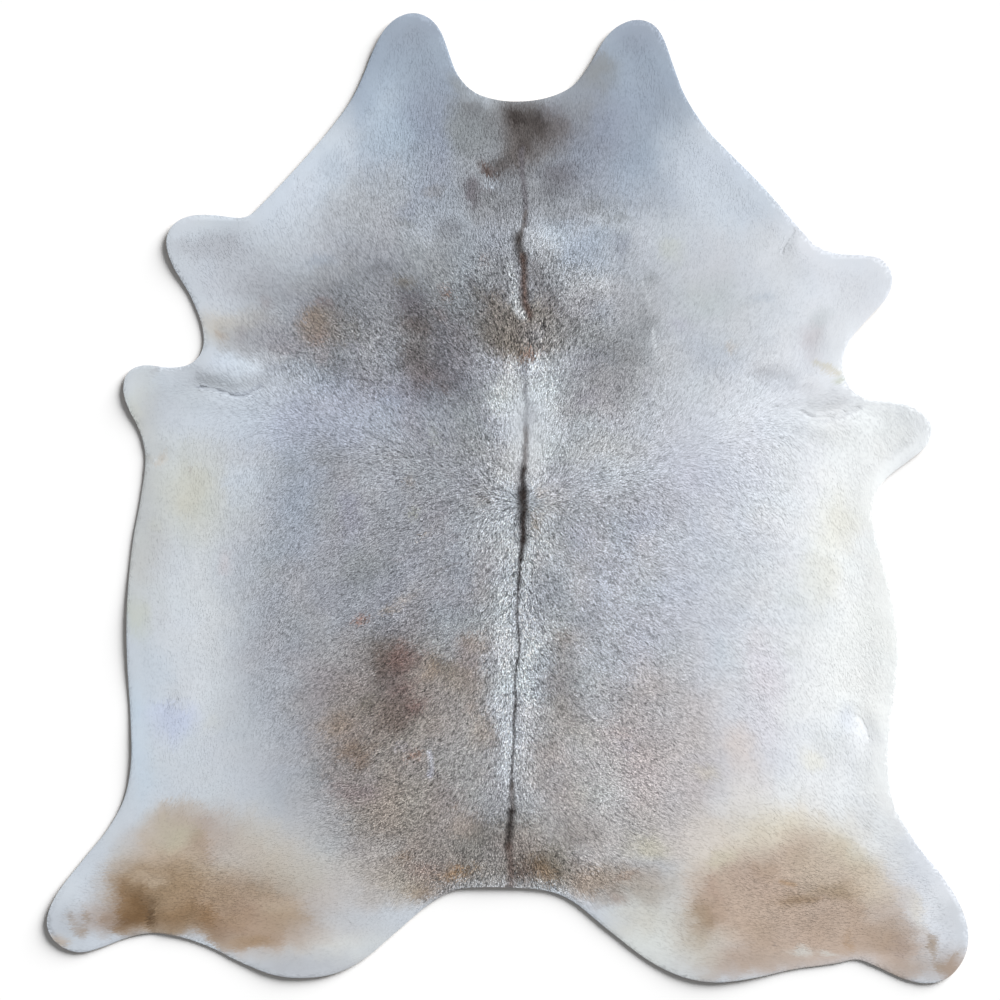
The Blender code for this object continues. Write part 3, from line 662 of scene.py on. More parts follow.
@dataclass(frozen=True)
class HairFlow:
    """Which way the hair lies: back from the spine behind the saddle, forward and out in front of it."""

    saddle_y: float = -20.0
    saddle_slope: float = 0.35
    turn_near: float = 45.0
    turn_far: float = 110.0
    rump_y: float = -720.0
    rump_blend: float = 160.0
    neck_y: float = 620.0
    neck_blend: float = 160.0
    neck_lie: float = 177.0
    parting: float = 6.0

    def spine_x(self, y: Array) -> Array:
        """Where the spine line runs across the hide."""
        return np.interp(y, (-745.0, -200.0, 0.0, 100.0), (0.0, 25.0, 33.0, 35.0))

    def direction(self, x: Array, y: Array) -> tuple[Array, Array]:
        """The way from a hair's root to its tip.

        Args:
            x, y: Points across and along the hide.

        Returns:
            The two parts of a unit vector at each point.
        """
        out = x - self.spine_x(y)
        off = np.abs(out)
        side = np.tanh(out / self.parting)
        back = BACK_LIE.at(off)
        share = smooth_fall((y - self.rump_y + self.rump_blend) / (2.0 * self.rump_blend))
        back = back + (RUMP_LIE.at(off) - back) * share
        front = np.where(out < 0.0, FRONT_LEFT_LIE.at(off), FRONT_RIGHT_LIE.at(off))
        share = smooth_fall((self.neck_y + self.neck_blend - y) / (2.0 * self.neck_blend))
        front = front + (self.neck_lie - front) * share
        turn = np.interp(off, (0, 150), (self.turn_near, self.turn_far))
        ahead = 1.0 - smooth_fall((y - self.saddle_y - self.saddle_slope * off + turn) / (2.0 * turn))
        angle = np.radians(back + (front - back) * ahead)
        across = np.sin(angle) * side
        down = -np.cos(angle)
        long = np.hypot(across, down)
        return across / long, down / long


@dataclass
class Markings:
    """The hide's colouring, with some painted light and shade: soft patches and streaks, broken up along the
    hair.
    """

    ground: Tone = Tone.MIST
    reach: float = 1.3
    drift: float = 16.0
    fine_drift: float = 9.0
    along_hair: float = 10.0
    across_hair: float = 4.0
    base_ticking: float = 0.007
    sleek_ticking: float = 0.02
    rough_ticking: float = 0.25
    cloudiness: float = 0.27
    lock_reach: float = 5.0
    lock_share: float = 0.6
    pale_hairs: float = 0.54
    dark_hairs: float = 2.15
    hue_drift: float = 0.018
    gain: float = 0.94
    streak_reach: float = 1.7
    streak_drift: float = 5.0
    streak_fine_drift: float = 2.0
    sleek_hue: float = 0.4
    rough_hue: float = 5.0
    greening: float = 0.6
    least_loose: float = 0.3
    brightest: float = 0.95

    def __post_init__(self) -> None:
        """Make the variations that the patches are broken up with."""
        self.drift_x = Mottle(75.0, 11)
        self.drift_y = Mottle(75.0, 12)
        self.fine_x = Mottle(22.0, 13)
        self.fine_y = Mottle(22.0, 14)
        self.lock = Mottle(2.2, 15)
        self.clouds = (Mottle(16.0, 17), Mottle(38.0, 18), Mottle(85.0, 19))
        self.warmth = Mottle(52.0, 20)
        self.greenness = Mottle(64.0, 21)

    def locks(self, x: Array, y: Array, flow: HairFlow) -> Array:
        """A variation drawn out along the hair, as combed locks are.

        Args:
            x, y: Points across and along the hide.
            flow: Which way the hair lies.

        Returns:
            Values about from -1 to 1.
        """
        dx, dy = flow.direction(x, y)
        steps = np.linspace(-self.lock_reach, self.lock_reach, 7)
        total = sum(self.lock.at(x + dx * step, y + dy * step) for step in steps)
        return total / math.sqrt(len(steps))

    def patches(self, x: Array, y: Array) -> Array:
        """The colour of the coat's patches at each point.

        Args:
            x, y: Points across and along the hide.

        Returns:
            Linear colours, one row for each point.
        """
        wx = x + self.drift * self.drift_x.at(x, y) + self.fine_drift * self.fine_x.at(x, y)
        wy = y + self.drift * self.drift_y.at(x, y) + self.fine_drift * self.fine_y.at(x, y)
        out = np.tile(self.ground.linear, (len(x), 1))
        for mark in MARKS:
            turn = math.radians(mark.turn)
            dx = wx - mark.x
            dy = wy - mark.y
            along = (dx * math.cos(turn) + dy * math.sin(turn)) / mark.half_x
            across = (dy * math.cos(turn) - dx * math.sin(turn)) / mark.half_y
            gap = np.hypot(along, across) / self.reach
            lay_over(out, smooth_fall(1.0 - (1.0 - gap) / mark.fade) * mark.strength, mark.tone)
        cloud = sum(mottle.at(wx, wy) for mottle in self.clouds)
        ticking = np.minimum(self.ticking(x, y), self.rough_ticking)
        out *= np.exp(self.cloudiness * ticking * cloud)[:, None]
        drift = self.hue_drift * (self.sleek_hue + self.rough_hue * ticking)
        warm = drift * self.warmth.at(wx, wy)
        green = drift * self.greenness.at(wx, wy)
        return out * np.exp(np.stack([warm, self.greening * green, -warm], axis=1))

    def streaked(self, colours: Array, x: Array, y: Array) -> Array:
        """The colours with the spine line and the other streaks laid over them.

        Args:
            colours: Linear colours, one row for each point.
            x, y: Points across and along the hide.

        Returns:
            Linear colours, times the gain that the light asks for.
        """
        near_x = x + self.streak_drift * self.drift_x.at(x, y) + self.streak_fine_drift * self.fine_x.at(x, y)
        out = colours.copy()
        for streak in STREAKS:
            gap = distance_to_route(near_x, y, streak.route) / (streak.half_width * self.streak_reach)
            lay_over(out, smooth_fall(gap) * streak.strength, streak.tone)
        return out * self.gain

    def tones(self, x: Array, y: Array) -> Array:
        """The colour of the coat at each point, without single hairs."""
        return self.streaked(self.patches(x, y), x, y)

    def ticking(self, x: Array, y: Array) -> Array:
        """How much single hairs differ in brightness at each point."""
        out = np.full(len(x), self.base_ticking)
        for patch in TICKINGS:
            gap = np.hypot((x - patch.x) / patch.half_x, (y - patch.y) / patch.half_y)
            out += smooth_fall(gap) * (patch.amount - out)
        return out

    def roughness(self, x: Array, y: Array) -> Array:
        """How ruffled the hair is: 0 where it lies sleek at the pale margins, 1 over the back."""
        return np.interp(self.ticking(x, y), (self.sleek_ticking, self.rough_ticking), (0.0, 1.0))

    def hairs(self, x: Array, y: Array, flow: HairFlow, rng: np.random.Generator) -> Array:
        """The colour of each tuft.

        Args:
            x, y: Roots across and along the hide.
            flow: Which way the hair lies.
            rng: The seeded source of chance.

        Returns:
            Linear colours, one row for each tuft.
        """
        dx, dy = flow.direction(x, y)
        loose = self.least_loose + (1.0 - self.least_loose) * self.roughness(x, y)
        slip = rng.normal(0.0, self.along_hair, len(x)) * loose
        side = rng.normal(0.0, self.across_hair, len(x)) * loose
        tones = self.streaked(self.patches(x + dx * slip + dy * side, y + dy * slip - dx * side), x, y)
        chance = self.lock_share * self.locks(x, y, flow) + rng.normal(0.0, 1.0, len(x))
        chance = np.where(chance > 0.0, self.pale_hairs, self.dark_hairs) * chance
        chance += 0.5 * (self.dark_hairs - self.pale_hairs)
        shade = self.ticking(x, y) * chance
        return np.clip(tones * np.exp(shade)[:, None], 0.0, self.brightest)


class Rim:
    """The cut edge of the hide, read from the solid and drawn finer."""

    def __init__(self, node: bpy.types.Object, step: float = 5.5, smoothing: int = 3) -> None:
        """Trace the edge of the solid's top.

        Args:
            node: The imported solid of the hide.
            step: Distance between the edge's points.
            smoothing: How often the points are eased along the edge.
        """
        loop = self.top_loop(node)
        run = np.vstack([loop, loop[:1]])
        length = np.concatenate([[0.0], np.cumsum(np.hypot(*np.diff(run, axis=0).T))])
        count = round(length[-1] / step)
        at = np.linspace(0.0, length[-1], count, endpoint=False)
        fine = np.stack([np.interp(at, length, run[:, 0]), np.interp(at, length, run[:, 1])], axis=1)
        for _ in range(smoothing):
            fine = 0.5 * fine + 0.25 * (np.roll(fine, 1, axis=0) + np.roll(fine, -1, axis=0))
        self.points = fine

    @staticmethod
    def top_loop(node: bpy.types.Object) -> Array:
        """The points of the solid's top edge in order, in millimetres.

        Args:
            node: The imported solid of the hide.

        Returns:
            The loop's points, anticlockwise from above.
        """
        body = bmesh.new()
        body.from_mesh(node.data)
        bmesh.ops.remove_doubles(body, verts=body.verts, dist=SAME_POINT)
        body.normal_update()
        after: dict[int, list[int]] = {}
        places = {}
        for edge in body.edges:
            tops = [face.normal.z > TOP_FACING for face in edge.link_faces]
            if sum(tops) == 1:
                a, b = edge.verts
                after.setdefault(a.index, []).append(b.index)
                after.setdefault(b.index, []).append(a.index)
                places[a.index] = (a.co.x / MM, a.co.y / MM)
                places[b.index] = (b.co.x / MM, b.co.y / MM)
        body.free()
        start = min(places)
        order = [start]
        previous, here = start, after[start][0]
        while here != start:
            order.append(here)
            step = [v for v in after[here] if v != previous][0]
            previous, here = here, step
        loop = np.array([places[v] for v in order])
        return loop if turned_area(loop) > 0.0 else loop[::-1]

    @property
    def area(self) -> float:
        """The flat area inside the edge, in square metres."""
        return turned_area(self.points) * MM * MM

    def outward(self) -> Array:
        """The direction straight out of the hide at each of the edge's points."""
        along = np.roll(self.points, -1, axis=0) - np.roll(self.points, 1, axis=0)
        return unit(np.stack([along[:, 1], -along[:, 0]], axis=1))

    def room(self, x: Array, y: Array, reach: float) -> Array:
        """How far inside the edge each point is, up to a reach; negative outside.

        Args:
            x, y: Points across and along the hide.
            reach: The distance beyond which it doesn't matter.

        Returns:
            One distance for each point.
        """
        order = np.argsort(y, kind="stable")
        out = np.empty(len(x))
        starts = self.points
        ends = np.roll(self.points, -1, axis=0)
        low = np.minimum(starts[:, 1], ends[:, 1])
        high = np.maximum(starts[:, 1], ends[:, 1])
        for part in np.array_split(order, max(1, len(order) // POINTS_AT_ONCE)):
            px, py = x[part], y[part]
            bottom, top = py.min(), py.max()
            near = (high > bottom - reach) & (low < top + reach)
            inside = np.zeros(len(part), bool)
            gap = np.full(len(part), reach)
            for (ax, ay), (bx, by) in zip(starts[near], ends[near]):
                if ay != by and min(ay, by) <= top and max(ay, by) >= bottom:
                    cut = ax + (py - ay) / (by - ay) * (bx - ax)
                    inside ^= ((ay > py) != (by > py)) & (px < cut)
                gap = np.minimum(gap, chord_gap(px, py, (ax, ay), (bx, by)))
            out[part] = np.where(inside, gap, -gap)
        return out


class LaidShape:
    """How high the solid's top and underside stand off the floor, eased between its facets."""

    def __init__(self, node: bpy.types.Object, cell: float = 8.0, easing: int = 4) -> None:
        """Read the heights of the solid on an even grid.

        Args:
            node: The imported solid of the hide.
            cell: Distance between the grid's points.
            easing: How often the grid is eased.
        """
        self.cell = cell
        corners = np.array([tuple(v.co) for v in node.data.vertices]) / MM
        self.low = corners.min(axis=0)[:2] - 3.0 * cell
        span = corners.max(axis=0)[:2] + 3.0 * cell - self.low
        self.count = (span / cell).astype(int) + 2
        tree = BVHTree.FromPolygons(
            [tuple(v.co) for v in node.data.vertices], [tuple(p.vertices) for p in node.data.polygons])
        self.over = self.eased(self.cast(tree, 1.0), easing)
        self.under = self.eased(self.cast(tree, -1.0), easing)

    def cast(self, tree: BVHTree, start: float) -> Array:
        """Heights found by looking down from above or up from below, in millimetres.

        Args:
            tree: The solid, ready to be looked at.
            start: The height to look from, in metres.

        Returns:
            A grid of heights, not a number where the hide isn't.
        """
        way = Vector((0.0, 0.0, -math.copysign(1.0, start)))
        columns, rows = self.count
        found = np.full((rows, columns), np.nan)
        for row in range(rows):
            y = (self.low[1] + row * self.cell) * MM
            for column in range(columns):
                hit = tree.ray_cast(Vector(((self.low[0] + column * self.cell) * MM, y, start)), way)[0]
                if hit is not None:
                    found[row, column] = hit.z / MM
        return found

    @staticmethod
    def eased(heights: Array, easing: int) -> Array:
        """The grid eased and carried on past the hide's edge.

        Args:
            heights: The grid, not a number where the hide isn't.
            easing: How often it is eased.

        Returns:
            A grid with a height everywhere.
        """
        known = ~np.isnan(heights)
        level = np.where(known, heights, 0.0)
        weight = known.astype(float)
        for _ in range(easing):
            for axis in (0, 1):
                level = 0.5 * level + 0.25 * (np.roll(level, 1, axis) + np.roll(level, -1, axis))
                weight = 0.5 * weight + 0.25 * (np.roll(weight, 1, axis) + np.roll(weight, -1, axis))
        return np.where(weight > LEAST_WEIGHT, level / np.maximum(weight, LEAST_WEIGHT), np.nanmean(heights))

    def read(self, grid: Array, x: Array, y: Array) -> Array:
        """Heights between the grid's points.

        Args:
            grid: The grid to read.
            x, y: Points across and along the hide.

        Returns:
            One height for each point.
        """
        rows, columns = grid.shape
        across = np.clip((x - self.low[0]) / self.cell, 0.0, columns - 1.001)
        along = np.clip((y - self.low[1]) / self.cell, 0.0, rows - 1.001)
        return between(grid, across, along, False)


class NodeDesk:
    """A material's node tree with short ways to add nodes."""

    def __init__(self, name: str) -> None:
        """Start a material with its shader and nothing else.

        Args:
            name: The material's name.
        """
        self.material = bpy.data.materials.new(name)
        self.material.use_nodes = True
        self.tree = self.material.node_tree
        self.shader = self.tree.nodes["Principled BSDF"]

    def add(self, kind: str, **settings: object) -> bpy.types.Node:
        """A new node with its settings.

        Args:
            kind: Blender's name for the node type.
            settings: Properties to set on it.

        Returns:
            The node.
        """
        node = self.tree.nodes.new(kind)
        for key, value in settings.items():
            setattr(node, key, value)
        return node

    def join(self, start: Socket, end: Socket) -> None:
        """Link an output to an input."""
        self.tree.links.new(start, end)

    def noise(self, scale: float, detail: float, stretch: Triple = (1.0, 1.0, 1.0)) -> Socket:
        """Noise in the hide's own metres.

        Args:
            scale: Cells to a metre.
            detail: Octaves.
            stretch: How each axis is scaled first.

        Returns:
            The noise's value.
        """
        place = self.add("ShaderNodeTexCoord")
        mapping = self.add("ShaderNodeMapping")
        mapping.inputs["Scale"].default_value = stretch
        noise = self.add("ShaderNodeTexNoise")
        noise.inputs["Scale"].default_value = scale
        noise.inputs["Detail"].default_value = detail
        self.join(place.outputs["Object"], mapping.inputs["Vector"])
        self.join(mapping.outputs["Vector"], noise.inputs["Vector"])
        return noise.outputs["Fac"]

    def ramp(self, start: Socket, *stops: tuple[float, Colour]) -> Socket:
        """A colour ramp on a value.

        Args:
            start: The value.
            stops: Each stop's place and colour.

        Returns:
            The ramp's colour.
        """
        ramp = self.add("ShaderNodeValToRGB")
        points = ramp.color_ramp.elements
        for point, (place, colour) in zip(points, (stops[0], stops[-1])):
            point.position, point.color = place, (*colour, 1.0)
        for place, colour in stops[1:-1]:
            points.new(place).color = (*colour, 1.0)
        self.join(start, ramp.inputs["Fac"])
        return ramp.outputs["Color"]

    def colour(self, tone: Socket, fleck: Socket, share: Socket | None = None) -> None:
        """Give the shader a colour multiplied by another.

        Args:
            tone: The colour.
            fleck: What it is multiplied by.
            share: How much of that shows, all of it if left out.
        """
        mix = self.add("ShaderNodeMix", data_type="RGBA", blend_type="MULTIPLY")
        mix.inputs["Factor"].default_value = 1.0
        if share is not None:
            self.join(share, mix.inputs["Factor"])
        self.join(tone, mix.inputs["A"])
        self.join(fleck, mix.inputs["B"])
        self.join(mix.outputs["Result"], self.shader.inputs["Base Color"])

    def bump(self, height: Socket, strength: float, distance: float, share: Socket | None = None) -> None:
        """Bump from a height, joined to the shader.

        Args:
            height: The height's socket.
            strength: Share of the bump that shows.
            distance: The bump's height in metres.
            share: A value the height is scaled by, if any.
        """
        if share is not None:
            scaled = self.add("ShaderNodeMath", operation="MULTIPLY")
            self.join(height, scaled.inputs[0])
            self.join(share, scaled.inputs[1])
            height = scaled.outputs["Value"]
        bump = self.add("ShaderNodeBump")
        bump.inputs["Strength"].default_value = strength
        bump.inputs["Distance"].default_value = distance
        self.join(height, bump.inputs["Height"])
        self.join(bump.outputs["Normal"], self.shader.inputs["Normal"])

    def roughen(self, start: Socket, low: float, high: float) -> None:
        """Vary the shader's roughness with a value.

        Args:
            start: The value, about 0.3 to 0.7.
            low, high: The roughness at 0.3 and at 0.7.
        """
        spread = self.add("ShaderNodeMapRange")
        for name, value in (("From Min", 0.3), ("From Max", 0.7), ("To Min", low), ("To Max", high)):
            spread.inputs[name].default_value = value
        self.join(start, spread.inputs["Value"])
        self.join(spread.outputs["Result"], self.shader.inputs["Roughness"])

    def gloss(self, specular: float, sheen: float = 0.0, sheen_roughness: float = 0.5) -> None:
        """Set the shader's even gloss and sheen."""
        self.shader.inputs["Specular IOR Level"].default_value = specular
        self.shader.inputs["Sheen Weight"].default_value = sheen
        self.shader.inputs["Sheen Roughness"].default_value = sheen_roughness


def grey(level: float) -> Colour:
    """A neutral colour."""
    return (level, level, level)


@dataclass(frozen=True)
class HairFinish:
    """Short laid cattle hair: tones from the tufts, with a soft sheen."""

    name: str = "laid_hair"
    attribute: str = "hair_tone"
    strand_scale: float = 540.0
    detail: float = 2.0
    stretch: Triple = (1.0, 1.0, 1.0)
    low_shade: tuple[float, float] = (0.36, 0.41)
    high_shade: tuple[float, float] = (0.58, 1.32)
    roughness: tuple[float, float] = (0.66, 0.8)
    sheen: float = 0.1
    bump: tuple[float, float] = (0.2, 0.0003)

    def material(self) -> bpy.types.Material:
        """Build the hair's material."""
        desk = NodeDesk(self.name)
        tone = desk.add("ShaderNodeAttribute", attribute_name=self.attribute)
        ruffled = tone.outputs["Alpha"]
        strands = desk.noise(self.strand_scale, self.detail, self.stretch)
        stops = [(place, grey(level)) for place, level in (self.low_shade, self.high_shade)]
        desk.colour(tone.outputs["Color"], desk.ramp(strands, *stops), ruffled)
        desk.roughen(strands, *self.roughness)
        desk.gloss(0.2, self.sheen, 0.45)
        desk.bump(strands, *self.bump, ruffled)
        return desk.material


@dataclass(frozen=True)
class HairBedFinish(HairFinish):
    """The hair's under-layer on the leather, seen only between tufts."""

    name: str = "hair_bed"
    strand_scale: float = 700.0
    detail: float = 3.0
    stretch: Triple = (1.0, 0.4, 1.0)
    low_shade: tuple[float, float] = (0.3, 0.76)
    high_shade: tuple[float, float] = (0.7, 1.04)
    roughness: tuple[float, float] = (0.7, 0.88)
    sheen: float = 0.0
    bump: tuple[float, float] = (0.15, 0.0004)


@dataclass(frozen=True)
class SuedeFinish:
    """The flesh side: brushed tan suede with a fine nap and faint cloudy patches."""

    name: str = "suede_underside"
    cloud_scale: float = 9.0
    nap_scale: float = 1100.0
    dark: Colour = (0.40, 0.30, 0.21)
    middle: Colour = (0.52, 0.41, 0.31)
    pale: Colour = (0.63, 0.53, 0.42)

    def material(self) -> bpy.types.Material:
        """Build the suede's material."""
        desk = NodeDesk(self.name)
        nap = desk.noise(self.nap_scale, 3.0, (1.0, 0.5, 1.0))
        cloud = desk.noise(self.cloud_scale, 4.0)
        tone = desk.ramp(cloud, (0.3, self.dark), (0.5, self.middle), (0.72, self.pale))
        desk.colour(tone, desk.ramp(nap, (0.3, grey(0.82)), (0.7, grey(1.08))))
        desk.roughen(nap, 0.86, 0.98)
        desk.gloss(0.15, 0.25)
        desk.bump(nap, 0.6, 0.0004)
        return desk.material


@dataclass(frozen=True)
class CutEdgeFinish:
    """The knife-cut edge of the leather: pale fibrous core in thin layers."""

    name: str = "cut_leather_edge"
    layer_scale: float = 350.0
    dark: Colour = (0.42, 0.34, 0.26)
    pale: Colour = (0.66, 0.60, 0.52)

    def material(self) -> bpy.types.Material:
        """Build the cut edge's material."""
        desk = NodeDesk(self.name)
        layers = desk.noise(self.layer_scale, 4.0, (1.0, 1.0, 6.0))
        desk.join(desk.ramp(layers, (0.32, self.dark), (0.68, self.pale)), desk.shader.inputs["Base Color"])
        desk.roughen(layers, 0.8, 0.95)
        desk.gloss(0.2)
        desk.bump(layers, 0.5, 0.0003)
        return desk.material


@dataclass(frozen=True)
class FloorFinish:
    """A plain pale studio floor."""

    name: str = "pale_floor"
    pale: float = 0.86
    roughness: float = 0.9

    def material(self) -> bpy.types.Material:
        """Build the floor's material."""
        desk = NodeDesk(self.name)
        desk.shader.inputs["Base Color"].default_value = (*grey(self.pale), 1.0)
        desk.shader.inputs["Roughness"].default_value = self.roughness
        desk.gloss(0.1)
        return desk.material


def named_object(name: str, mesh: bpy.types.Mesh) -> bpy.types.Object:
    """A new object for a mesh, in the scene."""
    made = bpy.data.objects.new(name, mesh)
    bpy.context.collection.objects.link(made)
    return made


def set_tones(mesh: bpy.types.Mesh, name: str, colours: Array, rough: Array) -> None:
    """Give each of a mesh's points its colour, and how ruffled the hair is there as the fourth part.

    Args:
        mesh: The mesh.
        name: The attribute's name.
        colours: Linear colours, one row for each point.
        rough: 0 to 1 for each point.
    """
    layer = mesh.color_attributes.new(name, "FLOAT_COLOR", "POINT")
    full = np.column_stack([colours, rough]).astype(np.float32)
    layer.data.foreach_set("color", full.ravel())


@dataclass
class Leather:
    """The hide's leather: a cut sheet with a hair side, a cut edge and a suede underside."""

    name: str = "hide_leather"
    top_step: float = 11.0
    under_step: float = 21.0
    clear_of_rim: float = 0.7
    hair_depth: float = 1.7
    rim_hair_depth: float = 1.1
    rim_reach: float = 40.0
    edge_round: float = 0.7
    fine_wrinkle: float = 0.15
    bed_painted_shade: float = 0.80
    evenness: float = 0.8
    fold_reach: float = 1.6
    ridge_offset: float = 2.2
    least_leather: float = 1.2
    least_edge: float = 0.3

    def grid(self, rim: Rim, step: float) -> Array:
        """Staggered points inside the edge.

        Args:
            rim: The hide's edge.
            step: Distance between points.

        Returns:
            The points, one row each.
        """
        low = rim.points.min(axis=0)
        high = rim.points.max(axis=0)
        rows = np.arange(low[1], high[1], step * math.sqrt(3.0) / 2.0)
        columns = np.arange(low[0], high[0], step)
        x = np.concatenate([columns + (step / 2.0 if row % 2 else 0.0) for row in range(len(rows))])
        y = np.repeat(rows, len(columns))
        keep = rim.room(x, y, NEAR_RIM) > self.clear_of_rim * step
        return np.stack([x[keep], y[keep]], axis=1)

    @staticmethod
    def triangles(loop: Array, inner: Array) -> tuple[Array, list[list[int]]]:
        """Triangles over an edge and the points inside it.

        Args:
            loop: The edge's points.
            inner: The points inside it.

        Returns:
            The points, the edge's first, and the triangles.
        """
        points = [Vector(p) for p in np.vstack([loop, inner])]
        flat, _, faces, *_ = delaunay_2d_cdt(
            points, [], [list(range(len(loop)))], KEEP_INSIDE_ONLY, SAME_POINT)
        return np.array([tuple(p) for p in flat]), faces

    def top_height(self, x: Array, y: Array, shape: LaidShape, room: Array) -> Array:
        """How high the leather's hair side is: the solid's top less the hair, with folds and wrinkles.

        Args:
            x, y: Points across and along the hide.
            shape: The solid's heights.
            room: How far inside the edge each point is.

        Returns:
            One height for each point.
        """
        depth = np.interp(room, (0.0, self.rim_reach), (self.rim_hair_depth, self.hair_depth))
        height = shape.read(shape.over, x, y) - depth
        for fold in FOLDS:
            gap = distance_to_route(x, y, fold.route)
            reach = self.fold_reach * fold.half_width
            height -= fold.depth * smooth_fall(gap / reach)
            height += fold.ridge * smooth_fall(np.abs(gap - self.ridge_offset * fold.half_width) / reach)
        height += self.fine_wrinkle * (Mottle(45.0, 31).at(x, y) + 0.6 * Mottle(21.0, 32).at(x, y))
        return np.maximum(height, shape.read(shape.under, x, y) + self.least_leather)

    def build(self, rim: Rim, shape: LaidShape, markings: Markings) -> bpy.types.Object:
        """Make the leather's mesh and give it its finishes.

        Args:
            rim: The hide's edge.
            shape: The solid's heights.
            markings: The hide's colouring.

        Returns:
            The leather.
        """
        out = rim.outward()
        top_loop = rim.points - out * self.edge_round
        top, top_faces = self.triangles(top_loop, self.grid(rim, self.top_step))
        base, base_faces = self.triangles(top_loop, self.grid(rim, self.under_step))
        side = rim.points
        count = len(side)

        top_z = self.top_height(*top.T, shape, rim.room(*top.T, self.rim_reach))
        base_z = shape.read(shape.under, *base.T)
        side_high = top_z[:count] - self.edge_round
        side_low = np.minimum(base_z[:count] + self.edge_round, side_high - self.least_edge)
        places = np.vstack([
            np.column_stack([top, top_z]),
            np.column_stack([side, side_high]),
            np.column_stack([side, side_low]),
            np.column_stack([base, np.maximum(base_z, 0.0)]),
        ])
        first_high = len(top)
        first_low = first_high + count
        first_base = first_low + count

        faces = [tuple(f) for f in top_faces]
        sides = [Side.HAIR] * len(faces)
        rings = ((0, first_high, Side.HAIR), (first_high, first_low, Side.CUT_EDGE),
                 (first_low, first_base, Side.CUT_EDGE))
        for upper, lower, side_kind in rings:
            for a in range(count):
                b = (a + 1) % count
                faces.append((upper + a, lower + a, lower + b, upper + b))
            sides += [side_kind] * count
        faces += [tuple(first_base + v for v in reversed(face)) for face in base_faces]
        sides += [Side.FLESH] * len(base_faces)

        mesh = bpy.data.meshes.new(self.name)
        mesh.from_pydata((places * MM).tolist(), [], [tuple(int(v) for v in f) for f in faces])
        mesh.polygons.foreach_set("material_index", [s.value for s in sides])
        mesh.polygons.foreach_set("use_smooth", [True] * len(faces))
        mesh.validate()
        rough = markings.roughness(*places[:, :2].T)
        # The hair's under-layer is painted darker where the hair is ruffled: painted shade between the tufts.
        shade = 1.0 - (1.0 - self.bed_painted_shade) * rough
        set_tones(mesh, "hair_tone", markings.tones(*places[:, :2].T) * shade[:, None], rough)
        facings = np.array([tuple(v.normal) for v in mesh.vertices])
        # The hair side is lit evenly, as the coat over it is, and the rim's rounded shoulder twice as much.
        facings[:first_low, 2] += self.evenness
        facings[first_high:first_low, 2] += self.evenness
        mesh.normals_split_custom_set_from_vertices(unit(facings).astype(np.float32))
        for finish in (HairBedFinish(), CutEdgeFinish(), SuedeFinish()):
            mesh.materials.append(finish.material())
        leather = named_object(self.name, mesh)
        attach(leather, "root")
        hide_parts("hide")
        return leather


